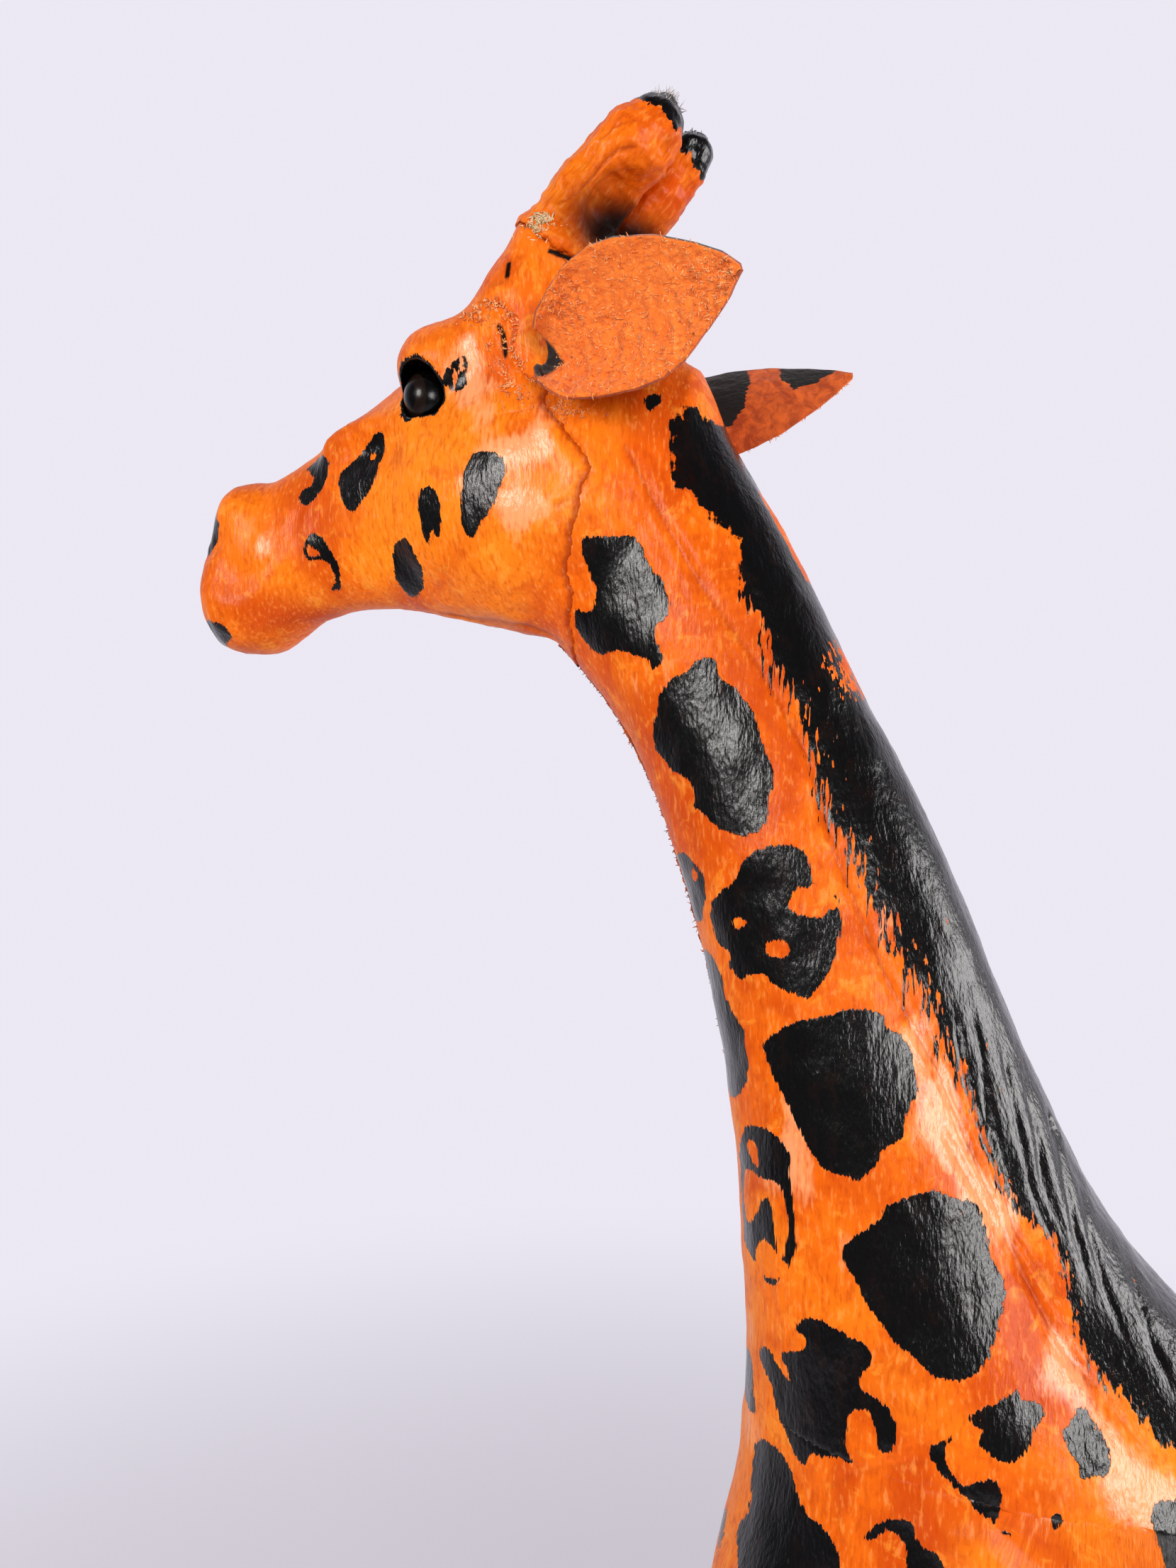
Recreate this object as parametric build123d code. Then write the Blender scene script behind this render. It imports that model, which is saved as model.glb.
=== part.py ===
from build123d import *
import os

# Leather-wrapped giraffe statue.
#
# Carved wooden blocks, doweled and glued, make the core. Thin leather skins are glued
# over it, with leather ears, glass eyes, wrapped horn pegs and black hoof blocks.
# Millimetres, +Z up. The giraffe faces -Y and its left side is +X.
# The origin is on the ground, at the centre of the bounding box.

# Driving dimensions
LEATHER = 1.5  # thickness of the glued skins
EAR_LEATHER = 1.6  # thickness of the cut leather ears
HOOF_TOP = 30.0  # height of the hoof blocks
LEG_X = 36.0  # half of the track between left and right legs
FRONT_LEG_Y = 4.0
REAR_LEG_Y = 186.0
EAR_LENGTH = 74.0
EAR_WIDTH = 40.0
EAR_CUP = 30.0  # radius that an ear is bent to
EAR_ROOT = (22, -94, 774)
EAR_ALONG = (28, 68, 14)
EAR_FACE = (0.909, -0.316, -0.272)
BROW_CENTRE = (17.5, -128, 789)
BROW_RADII = (13, 17, 13.5)
EYE_RADIUS = 8.0
EYE_CENTRE = (21.5, -134.0, 778.5)
EYE_FACE = (0.93, -0.32, 0.15)
EYELID_OFFSET = 4.0  # from the eye's centre to the plane of the rolled leather round it
EYELID_RING = 7.6
EYELID_RADIUS = 1.6
SEAM_Y = -84.0  # plane between the head pieces and the neck pieces
LAP_WIDTH = 5.0  # lapped strip down the throat
LAP_THICKNESS = 1.2
LAP_Z = (582.0, 684.0)
TUFT_HEIGHT = 7.0  # frayed fibre on a horn's tip
TUFT_RADIUS = 3.2
CLEFT_WIDTH = 3.0
CLEFT_DEPTH = 13.0
WIRE_RADIUS = 1.1
BIG = 2000.0

# Stations of the body tubes: a profile point (y, z), the point across from it, the half width
HEAD = [
    ((-232, 735), (-230, 723), 7),
    ((-229, 746), (-228, 713), 13.5),
    ((-222, 757), (-221, 707), 18),
    ((-211, 762), (-212, 706), 20),
    ((-198, 765), (-197, 710), 19),
    ((-182, 772.5), (-180, 716), 18),
    ((-160, 784.5), (-158, 716), 21),
    ((-140, 800), (-138, 714), 25),
    ((-120, 810), (-116, 708), 28),
    ((-98, 812), (-95, 702), 28),
    ((-76, 804), (-74, 712), 26),
    ((-60, 790), (-60, 730), 20),
    ((-52, 776), (-53, 744), 12),
]
NECK = [
    ((-106, 752), (-72, 792), 18),
    ((-97, 718), (-52, 778), 24),
    ((-84, 688), (-37, 748), 25),
    ((-68, 660), (-19, 714), 25.5),
    ((-58, 632), (-5, 684), 27),
    ((-50, 605), (9, 656), 29),
    ((-44, 575), (22, 624), 31.5),
    ((-41, 540), (38, 586), 35),
    ((-41, 500), (60, 545), 40),
    ((-44, 462), (88, 515), 46),
    ((-40, 425), (118, 490), 46),
    ((-24, 400), (120, 455), 40),
]
TORSO = [
    ((-48, 424), (-48, 398), 13),
    ((-44, 446), (-43, 374), 29),
    ((-31, 466), (-31, 346), 41),
    ((-6, 485), (-8, 317), 51),
    ((36, 498), (34, 302), 58),
    ((84, 497), (84, 303), 60),
    ((130, 484), (130, 312), 58),
    ((170, 466), (171, 326), 54),
    ((204, 446), (205, 343), 46),
    ((224, 426), (225, 362), 33),
    ((232, 408), (232, 382), 15),
]
# Stations of a leg: height, centre y from the leg's own line, half width, half depth
FRONT_LEG = [
    (440, 10, 10, 20),
    (415, 9, 17, 30),
    (380, 6, 21, 34),
    (335, 3, 20, 28),
    (290, 1, 16, 21),
    (235, 0, 13.5, 16),
    (190, -2, 13, 14),
    (168, -3, 14, 15),
    (145, -1, 12, 12.5),
    (100, 0, 9.5, 10),
    (60, 0, 9.5, 10.5),
    (44, -1, 11, 12.5),
    (HOOF_TOP, -3, 11, 13),
]
REAR_LEG = [
    (425, -14, 10, 22),
    (400, -12, 17, 34),
    (365, -7, 21, 41),
    (325, -3, 20, 37),
    (280, 4, 16, 27),
    (235, 12, 13, 18),
    (195, 19, 12, 14.5),
    (172, 20, 12.5, 15),
    (150, 17, 11.5, 12.5),
    (100, 9, 9.5, 10),
    (60, 3, 9.5, 10.5),
    (44, 1, 11, 12.5),
    (HOOF_TOP, -1, 11, 13),
]
# Hoof block: height, centre y from the leg's line, half width, half depth
HOOF = [(HOOF_TOP, -3, 11, 13), (20, -4, 13, 15.5), (8, -5.5, 15.5, 19), (0, -6, 16, 20)]
# Horn peg: centre (x, y, z) and radius
HORN = [
    ((13.8, -102, 803), 13),
    ((12.8, -94, 816), 12),
    ((12.0, -85, 829), 11),
    ((11.6, -76, 840), 10.5),
    ((11.4, -68.5, 847.5), 10),
    ((11.4, -61.5, 852.5), 8),
]
# Tail: corners of its line (y, z); the bend over the rump; and the tuft's centres and radii
TAIL_LINE = ((216, 424), (237, 424), (237, 262))
TAIL_BEND = 12.0
TAIL_RADIUS = 3.6
TUFT = [
    ((237, 262), 3.6),
    ((237, 245), 4.6),
    ((237, 215), 4.6),
    ((237, 185), 3.4),
    ((237, 168), 1.4),
]
# The slanted seam behind the brow: (y, z) at the ear's root and on top of the skull
BROW_SEAM = ((-86, 760), (-128, 826))
# Dowels on the left side: start, end and radius
NECK_DOWEL = ((14, 42, 425), (14, 14, 545), 5.0)
HEAD_DOWEL = ((8, -52, 735), (8, -116, 765), 4.0)
FRONT_LEG_DOWEL = ((LEG_X, FRONT_LEG_Y + 3, 300), (LEG_X, FRONT_LEG_Y + 5, 376), 5.0)
REAR_LEG_DOWEL = ((LEG_X, REAR_LEG_Y - 1, 300), (LEG_X, REAR_LEG_Y - 5, 376), 5.0)
HOOF_DOWEL_Z = (14, 46)
HOOF_DOWEL_RADIUS = 2.5


def profile_section(station, inset, toward=None):
    """An ellipse across the tube, smaller by inset, and moved by inset towards another station."""
    (y1, z1), (y2, z2), half_width = station
    first, second = Vector(0, y1, z1), Vector(0, y2, z2)
    centre = (first + second) * 0.5
    across = (second - first).normalized()
    if toward is not None:
        (ty1, tz1), (ty2, tz2), _ = toward
        target = Vector(0, (ty1 + ty2) / 2, (tz1 + tz2) / 2)
        centre = centre + (target - centre).normalized() * inset
    plane = Plane(origin=centre, x_dir=(1, 0, 0), z_dir=Vector(1, 0, 0).cross(across))
    half_length = (second - first).length / 2 - inset
    return plane * Ellipse(half_width - inset, half_length)


def body_tube(stations, inset=0.0):
    """A loft through profile stations, in the plane of symmetry."""
    faces = [profile_section(s, inset) for s in stations]
    if inset:
        faces[0] = profile_section(stations[0], inset, stations[1])
        faces[-1] = profile_section(stations[-1], inset, stations[-2])
    return loft(faces)


def leg_tube(stations, leg_x, leg_y, inset=0.0):
    """A loft through level ellipses, down one leg."""
    top = stations[0][0]
    faces = []
    for height, shift, half_width, half_depth in stations:
        level = height - inset if height == top else height
        plane = Plane(origin=(leg_x, leg_y + shift, level), x_dir=(1, 0, 0), z_dir=(0, 0, -1))
        faces.append(plane * Ellipse(half_width - inset, half_depth - inset))
    return loft(faces)


def round_tube(stations, inset=0.0):
    """A loft through circles square to the line of their centres."""
    centres = [Vector(*c) for c, _ in stations]
    faces = []
    for i, (_, radius) in enumerate(stations):
        before, after = centres[max(i - 1, 0)], centres[min(i + 1, len(centres) - 1)]
        plane = Plane(origin=centres[i], x_dir=(1, 0, 0), z_dir=after - before)
        faces.append(plane * Circle(radius - inset))
    return loft(faces)


def rod(start, end, radius):
    """A cylinder from one point to another."""
    start, end = Vector(*start), Vector(*end)
    plane = Plane(origin=start, z_dir=end - start)
    return extrude(plane * Circle(radius), amount=(end - start).length)


def bent_rod(corners, radius, bend):
    """A round rod along a line of corners in the plane of symmetry, with each corner rounded."""
    path = FilletPolyline(*[(0, y, z) for y, z in corners], radius=bend)
    start = Plane(origin=path @ 0, z_dir=path % 0)
    return sweep(start * Circle(radius), path=path)


def mirrored(shape):
    return mirror(shape, about=Plane.YZ)


def save(shape, node):
    export_step(shape, f"parts/{node}.step")


def ear():
    """The left ear: a leaf of leather, cupped about its length, with its root towards the skull."""
    half = EAR_WIDTH / 2
    upper = Spline((0, 6), (12, half * 0.8), (30, half), (50, half * 0.62), (EAR_LENGTH, 0))
    lower = Spline((EAR_LENGTH, 0), (50, -half * 0.62), (30, -half), (12, -half * 0.8), (0, -6))
    leaf = extrude(make_face([upper, lower, Line((0, -6), (0, 6))]), amount=EAR_CUP)
    across = Plane(origin=(-5, 0, EAR_CUP), z_dir=(1, 0, 0))
    shell = extrude(across * Circle(EAR_CUP), amount=EAR_LENGTH + 10)
    shell -= extrude(across * Circle(EAR_CUP - EAR_LEATHER), amount=EAR_LENGTH + 10)
    return Plane(origin=EAR_ROOT, x_dir=EAR_ALONG, z_dir=EAR_FACE) * (leaf & shell)


def half_space(outline):
    """All of space on one side of a line drawn in the Y-Z plane, as a wide prism."""
    return extrude(Plane.YZ * make_face(Polyline(*outline, close=True)), amount=BIG, both=True)


def cut(shape, *tools):
    """shape with each tool taken out of it in turn."""
    for tool in tools:
        shape -= tool
    return shape


def make_horns(head, head_wood):
    """Horn pegs, their leather wraps and the frayed tufts on their tips, left and right."""
    peg, wrap = round_tube(HORN, LEATHER), round_tube(HORN)
    (tip, _), (below, _) = HORN[-1], HORN[-2]
    tuft_plane = Plane(origin=tip, z_dir=Vector(*tip) - Vector(*below))
    tuft_end = tuft_plane.offset(TUFT_HEIGHT)
    tuft = loft([tuft_plane * Circle(TUFT_RADIUS), tuft_end * Circle(TUFT_RADIUS * 0.4)])
    return cut(peg, head_wood), cut(wrap, peg, head), cut(tuft, wrap, peg), peg


def make_hoof(leg_y):
    """One black hoof block of the left side, with the cleft between its two toes."""
    faces = [
        Plane(origin=(LEG_X, leg_y + shift, z), x_dir=(1, 0, 0), z_dir=(0, 0, -1))
        * Ellipse(half_width, half_depth)
        for z, shift, half_width, half_depth in HOOF
    ]
    block = loft(faces)
    front = leg_y + HOOF[-1][1] - HOOF[-1][3]
    wedge = Polyline(
        (LEG_X - CLEFT_WIDTH / 2, front - 1),
        (LEG_X + CLEFT_WIDTH / 2, front - 1),
        (LEG_X, front + CLEFT_DEPTH),
        close=True,
    )
    return block - extrude(make_face(wedge), amount=HOOF_TOP * 0.8)


def make_leg(stations, leg_y, torso, torso_wood, dowel):
    """Core, skin, hoof and dowels of one left leg."""
    outer, wood = leg_tube(stations, LEG_X, leg_y), leg_tube(stations, LEG_X, leg_y, LEATHER)
    hoof_y = leg_y + stations[-1][1]
    pin = rod((LEG_X, hoof_y, HOOF_DOWEL_Z[0]), (LEG_X, hoof_y, HOOF_DOWEL_Z[1]), HOOF_DOWEL_RADIUS)
    core = cut(wood, torso_wood, dowel, pin)
    skin = cut(outer, wood, torso)
    return core, skin, cut(make_hoof(leg_y), pin), pin, wood


def main():
    os.makedirs("parts", exist_ok=True)
    head, neck, torso = (body_tube(s) for s in (HEAD, NECK, TORSO))
    head_wood, neck_wood, torso_wood = (body_tube(s, LEATHER) for s in (HEAD, NECK, TORSO))
    brow = Pos(*BROW_CENTRE) * scale(Sphere(1), by=BROW_RADII)
    brow_wood = Pos(*BROW_CENTRE) * scale(Sphere(1), by=tuple(r - LEATHER for r in BROW_RADII))
    head += [brow, mirrored(brow)]
    head_wood += [brow_wood, mirrored(brow_wood)]

    eye = Pos(*EYE_CENTRE) * Sphere(EYE_RADIUS)
    eyes = [eye, mirrored(eye)]
    lid_plane = Plane(origin=EYE_CENTRE, z_dir=EYE_FACE).offset(EYELID_OFFSET)
    eyelid = cut(lid_plane * Torus(EYELID_RING, EYELID_RADIUS), eye, head)

    peg, horn_wrap, horn_tuft, peg_solid = make_horns(head, head_wood)
    pegs = [peg_solid, mirrored(peg_solid)]

    neck_dowels = [rod(*NECK_DOWEL), mirrored(rod(*NECK_DOWEL))]
    head_dowels = [rod(*HEAD_DOWEL), mirrored(rod(*HEAD_DOWEL))]
    in_front = half_space([(-BIG, -BIG), (SEAM_Y, -BIG), (SEAM_Y, BIG), (-BIG, BIG)])
    upper_wood = head_wood + neck_wood
    upper_skin = cut(head + neck, upper_wood)
    head_core = cut(upper_wood & in_front, *head_dowels, *eyes)
    neck_core = cut(upper_wood, in_front, torso_wood, *head_dowels, *neck_dowels)
    neck_skin = cut(upper_skin, in_front, torso)
    head_skin = cut(upper_skin & in_front, *eyes, *pegs)
    (ear_y, ear_z), (top_y, top_z) = BROW_SEAM
    crown = half_space([(ear_y, ear_z), (top_y, top_z), (top_y, BIG), (BIG, BIG), (BIG, ear_z)])
    save(head_skin - crown, "face_skin")
    save(head_skin & crown, "crown_skin")
    save(head_core, "head_core")
    save(neck_core, "neck_core")
    save(neck_skin, "neck_skin")

    low, high = LAP_Z
    lap_box = Pos(0, SEAM_Y - 60, (low + high) / 2) * Box(LAP_WIDTH, 200, high - low)
    lap = cut(body_tube(NECK, -LAP_THICKNESS) & lap_box, neck, head)
    save(lap, "throat_lap")

    wire = bent_rod(TAIL_LINE, WIRE_RADIUS, TAIL_BEND)
    tail = bent_rod(TAIL_LINE, TAIL_RADIUS, TAIL_BEND)
    save(wire, "tail_wire")
    save(cut(tail, wire, torso), "tail_wrap")
    save(round_tube([((0, y, z), radius) for (y, z), radius in TUFT]), "tail_tuft")

    torso_core, torso_skin = cut(torso_wood, wire, *neck_dowels), cut(torso, torso_wood, neck_wood, wire)
    leg_dowels, hoof_pins = [], []
    legs = (
        ("front", FRONT_LEG, FRONT_LEG_Y, rod(*FRONT_LEG_DOWEL)),
        ("rear", REAR_LEG, REAR_LEG_Y, rod(*REAR_LEG_DOWEL)),
    )
    for name, stations, leg_y, dowel in legs:
        core, skin, hoof, pin, wood = make_leg(stations, leg_y, torso, torso_wood, dowel)
        for side, place in (("left", lambda s: s), ("right", mirrored)):
            save(place(core), f"leg_core_{name}_{side}")
            save(place(skin), f"leg_skin_{name}_{side}")
            save(place(hoof), f"hoof_{name}_{side}")
            leg_dowels.append(place(dowel))
            hoof_pins.append(place(pin))
            torso_core -= place(dowel)
            torso_skin -= place(wood)
    save(torso_core, "torso_core")
    save(torso_skin, "torso_skin")
    save(Compound(children=neck_dowels), "neck_dowels")
    save(Compound(children=head_dowels), "head_dowels")
    save(Compound(children=leg_dowels), "leg_dowels")
    save(Compound(children=hoof_pins), "hoof_pins")

    left_ear = cut(ear(), head, neck)
    pairs = {
        "ear": left_ear,
        "eye": eye,
        "eyelid": eyelid,
        "horn_peg": peg,
        "horn_wrap": horn_wrap,
        "horn_tuft": horn_tuft,
    }
    for name, shape in pairs.items():
        save(shape, f"{name}_left")
        save(mirrored(shape), f"{name}_right")


main()
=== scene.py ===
# The looks of a giraffe statue: painted hide glued over a carved wooden body.
# Lengths in this file are millimetres in the CAD frame, and MM turns them into metres where meshes are made.
# The giraffe faces -Y, its left side is +X and +Z is up.

import math

import bpy
import numpy as np
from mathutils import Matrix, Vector


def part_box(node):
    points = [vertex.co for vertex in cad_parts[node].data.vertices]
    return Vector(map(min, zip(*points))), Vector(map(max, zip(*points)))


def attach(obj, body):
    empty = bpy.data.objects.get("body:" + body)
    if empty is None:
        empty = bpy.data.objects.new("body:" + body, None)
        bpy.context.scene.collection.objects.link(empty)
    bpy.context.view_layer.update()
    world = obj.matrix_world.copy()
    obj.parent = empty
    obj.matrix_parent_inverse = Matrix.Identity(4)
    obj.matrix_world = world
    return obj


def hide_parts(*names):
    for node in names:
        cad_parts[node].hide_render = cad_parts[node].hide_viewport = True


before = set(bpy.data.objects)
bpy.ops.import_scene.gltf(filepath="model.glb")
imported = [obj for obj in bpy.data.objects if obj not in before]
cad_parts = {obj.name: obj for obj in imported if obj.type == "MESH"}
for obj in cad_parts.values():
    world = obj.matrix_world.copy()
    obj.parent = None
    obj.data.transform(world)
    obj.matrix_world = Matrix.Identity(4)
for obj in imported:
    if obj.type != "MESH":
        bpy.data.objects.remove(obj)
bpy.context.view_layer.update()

MM = 0.001
SOFTNESS = {"head": 9.0, "brow": 4.0, "neck": 10.0, "torso": 18.0, "leg": 13.0}


def box_mm(node):
    """Lowest and highest corners of a CAD node, in millimetres."""
    low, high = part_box(node)
    return np.array(low) / MM, np.array(high) / MM


def centre_mm(node):
    low, high = box_mm(node)
    return (low + high) / 2


# ---------------------------------------------------------------- noise

CORNERS = [(i, j, k) for i in (0, 1) for j in (0, 1) for k in (0, 1)]  # of a unit cube


def lattice(ix, iy, iz, seed):
    """A repeatable value from 0 to 1 for each point of a whole-number lattice."""
    with np.errstate(over="ignore"):
        mixed = ix * np.uint32(374761393) + iy * np.uint32(668265263) + iz * np.uint32(2246822519)
        mixed = mixed + np.uint32(seed * 3266489917 % 2**32)
        mixed = (mixed ^ (mixed >> np.uint32(13))) * np.uint32(1274126177)
        mixed = mixed ^ (mixed >> np.uint32(16))
    return mixed.astype(np.float64) / 2**32


def noise(points, size, seed=0):
    """Smooth noise from -1 to 1, with features of about that size in millimetres; size may be three sizes."""
    scaled = points / np.asarray(size, float) + 1000.0
    whole = np.floor(scaled)
    part = scaled - whole
    part = part * part * part * (part * (part * 6 - 15) + 10)
    base = whole.astype(np.int64).astype(np.uint32)
    total = np.zeros(len(points))
    for corner in CORNERS:
        weight = np.ones(len(points))
        for axis, far in enumerate(corner):
            weight *= part[:, axis] if far else 1 - part[:, axis]
        total += weight * lattice(*(base + np.array(corner, np.uint32)).T, seed)
    return total * 2 - 1


def rough(points, size, octaves=3, seed=0):
    """Noise with finer noise added to it."""
    total = np.zeros(len(points))
    for octave in range(octaves):
        total += noise(points, np.asarray(size, float) / 2.1**octave, seed + octave * 17) * 0.55**octave
    return total


# ---------------------------------------------------------------- implicit shapes, negative inside

def smooth_union(a, b, softness):
    blend = np.clip(0.5 + 0.5 * (b - a) / softness, 0, 1)
    return b + (a - b) * blend - softness * blend * (1 - blend)


def smooth_cut(a, tool, softness):
    return -smooth_union(-a, tool, softness)


def ellipsoid(x, y, z, centre, radii):
    px, py, pz = x - centre[0], y - centre[1], z - centre[2]
    near = np.sqrt((px / radii[0]) ** 2 + (py / radii[1]) ** 2 + (pz / radii[2]) ** 2) + 1e-9
    slope = np.sqrt((px / radii[0] ** 2) ** 2 + (py / radii[1] ** 2) ** 2 + (pz / radii[2] ** 2) ** 2) + 1e-9
    return near * (near - 1) / slope


def ramp(value, start, end):
    """0 before start, 1 after end, smooth between."""
    part = np.clip((value - start) / (end - start), 0, 1)
    return part * part * (3 - 2 * part)


def smooth_rows(knots, rows, at):
    """Rows of numbers read from a smooth curve through the given rows."""
    slopes = np.gradient(rows, knots, axis=0)
    i = np.clip(np.searchsorted(knots, at, side="right") - 1, 0, len(knots) - 2)
    span = (knots[i + 1] - knots[i])[:, None]
    u = (at[:, None] - knots[i][:, None]) / span
    return ((2 * u**3 - 3 * u**2 + 1) * rows[i] + (u**3 - 2 * u**2 + u) * span * slopes[i]
            + (3 * u**2 - 2 * u**3) * rows[i + 1] + (u**3 - u**2) * span * slopes[i + 1])


class Tube:
    """A body tube whose sections cross the plane of symmetry.

    Each station is a profile point (y, z), the point across from it, the half width, and
    how much wider the section is towards its second point.
    """

    SAMPLES = 512

    def __init__(self, stations, power=2.1):
        rows = np.array([[*first, *second, width, skew] for first, second, width, skew in stations], float)
        middles = (rows[:, :2] + rows[:, 2:4]) / 2
        knots = np.concatenate([[0], np.cumsum(np.linalg.norm(np.diff(middles, axis=0), axis=1))])
        self.run = np.linspace(0, knots[-1], self.SAMPLES)
        fine = smooth_rows(knots, rows, self.run)
        self.centre = (fine[:, :2] + fine[:, 2:4]) / 2
        across = fine[:, 2:4] - fine[:, :2]
        self.half = np.linalg.norm(across, axis=1) / 2
        self.across = across / (2 * self.half[:, None])
        forward = np.stack([-self.across[:, 1], self.across[:, 0]], 1)
        if np.sum(forward[0] * (self.centre[5] - self.centre[0])) < 0:
            forward = -forward
        self.forward = forward
        self.width, self.skew, self.power = fine[:, 4], fine[:, 5], power

    def locate(self, y, z):
        """For each (y, z): sample number, as a fraction, and how far it is past the tube's ends."""
        low = np.zeros(np.broadcast(y, z).shape, int)
        high = np.full(low.shape, self.SAMPLES - 1)

        def past(i):
            return (y - self.centre[i, 0]) * self.forward[i, 0] + (z - self.centre[i, 1]) * self.forward[i, 1]

        beyond = np.maximum(-past(low), past(high))
        for _ in range(9):
            middle = (low + high) // 2
            ahead = past(middle) > 0
            low = np.where(ahead, middle, low)
            high = np.where(ahead, high, middle)
        at_low, at_high = past(low), past(high)
        part = np.clip(at_low / np.where(np.abs(at_low - at_high) < 1e-9, 1, at_low - at_high), 0, 1)
        return low, part, beyond

    def section(self, y, z):
        """Half length, half width, skew, place along the section and run of the section through (y, z)."""
        i, part, beyond = self.locate(y, z)
        j = np.minimum(i + 1, self.SAMPLES - 1)

        def read(table):
            return table[i] * (1 - part) + table[j] * part

        s = (y - read(self.centre[:, 0])) * read(self.across[:, 0])
        s = s + (z - read(self.centre[:, 1])) * read(self.across[:, 1])
        return read(self.half), read(self.width), read(self.skew), s, read(self.run), beyond

    def __call__(self, x, y, z):
        half, width, skew, s, _, beyond = self.section(y, z)
        width = width * (1 + skew * np.clip(s / half, -1, 1))
        turn = (np.abs(x) / width) ** self.power + (np.abs(s) / half) ** self.power
        turn = turn ** (1 / self.power) + 1e-6
        near = np.sqrt(x**2 + s**2) + 1e-6
        return np.maximum(near * (1 - 1 / turn), beyond)


class LevelTube:
    """A leg: level ellipses at heights, each (z, x, y, half width, half depth)."""

    def __init__(self, stations):
        rows = np.array(stations, float)[::-1]
        self.z = np.linspace(rows[0, 0], rows[-1, 0], 400)
        self.rows = smooth_rows(rows[:, 0], rows, self.z)

    def __call__(self, x, y, z):
        i = np.clip((z - self.z[0]) / (self.z[-1] - self.z[0]), 0, 1) * (len(self.z) - 1)
        i = np.round(i).astype(int)
        px, py = np.abs(x) - self.rows[i, 1], y - self.rows[i, 2]
        turn = np.sqrt((px / self.rows[i, 3]) ** 2 + (py / self.rows[i, 4]) ** 2) + 1e-6
        near = np.sqrt(px**2 + py**2) + 1e-6
        return np.maximum(near * (1 - 1 / turn), np.maximum(z - self.z[-1], self.z[0] - z))


def limb(x, y, z, stations, softness):
    """A chain of round cones through (x, y, z), radius."""
    total = None
    for (a, ra), (b, rb) in zip(stations, stations[1:]):
        a, b = np.array(a, float), np.array(b, float)
        d = b - a
        along = ((x - a[0]) * d[0] + (y - a[1]) * d[1] + (z - a[2]) * d[2]) / (d @ d)
        along = np.clip(along, 0, 1)
        gap = np.sqrt((x - a[0] - along * d[0]) ** 2 + (y - a[1] - along * d[1]) ** 2
                      + (z - a[2] - along * d[2]) ** 2) - (ra + (rb - ra) * along)
        total = gap if total is None else smooth_union(total, gap, softness)
    return total


# ---------------------------------------------------------------- the body's shape

HEAD = Tube([
    ((-229.5, 733), (-228.5, 722), 7, 0),
    ((-227, 745), (-227, 712), 12.5, 0),
    ((-223, 754), (-222, 707), 16, 0.05),
    ((-216, 759.5), (-216, 706), 18, 0.1),
    ((-208, 762.5), (-208, 706.5), 19, 0.1),
    ((-201, 764), (-200, 710), 18.5, 0.05),
    ((-192, 768), (-191, 715), 17, 0),
    ((-182, 773), (-180, 718), 16.5, 0),
    ((-169, 780), (-166, 718.5), 18, 0),
    ((-155, 788), (-152, 717), 20.5, 0),
    ((-140, 796), (-138, 714), 23.5, 0),
    ((-124, 804), (-120, 710), 26, 0),
    ((-108, 808), (-104, 706), 27.5, -0.05),
    ((-94, 808), (-90, 704), 27, -0.1),
    ((-80, 802), (-76, 712), 25, -0.05),
    ((-66, 792), (-64, 728), 20, 0),
    ((-56, 778), (-55, 744), 12, 0),
], 2.25)
NECK = Tube([
    ((-106, 752), (-70, 794), 18, 0),
    ((-99, 722), (-54, 781), 23.5, 0),
    ((-93, 701), (-44, 760), 24.5, 0),
    ((-79, 682), (-31, 737), 24.5, 0),
    ((-67, 660), (-19, 713), 25, 0),
    ((-57, 632), (-5, 683), 27, 0),
    ((-49, 605), (9, 655), 29, 0),
    ((-43, 575), (22, 624), 31.5, 0),
    ((-39.5, 540), (38, 585), 35, 0),
    ((-38, 500), (59, 544), 40, 0.06),
    ((-40, 462), (88, 515), 45, 0.06),
    ((-38, 425), (118, 492), 46, 0.03),
    ((-22, 400), (122, 458), 40, 0),
], 2.15)
TORSO = Tube([
    ((-49, 424), (-49, 398), 13, 0),
    ((-44, 446), (-43, 374), 29, 0),
    ((-34, 466), (-34, 346), 41, -0.04),
    ((-4, 484), (-6, 317), 51, -0.06),
    ((36, 498), (34, 302), 58, 0.02),
    ((84, 497), (84, 303), 60, 0.08),
    ((130, 484), (130, 312), 58, 0.08),
    ((170, 466), (171, 326), 54, 0.02),
    ((204, 446), (205, 343), 46, 0),
    ((224, 426), (225, 362), 33, 0),
    ((232, 408), (232, 382), 15, 0),
])
LEG_X = float(centre_mm("hoof_front_left")[0])
FRONT_Y = float(centre_mm("hoof_front_left")[1]) + 6
REAR_Y = float(centre_mm("hoof_rear_left")[1]) + 6
HOOF_TOP = float(box_mm("hoof_front_left")[1][2])


def leg_tube(leg_y, rows):
    """A leg from rows of height, y from leg_y, half width and half depth."""
    return LevelTube([(z, LEG_X, leg_y + y, wide, deep) for z, y, wide, deep in rows])


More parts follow.
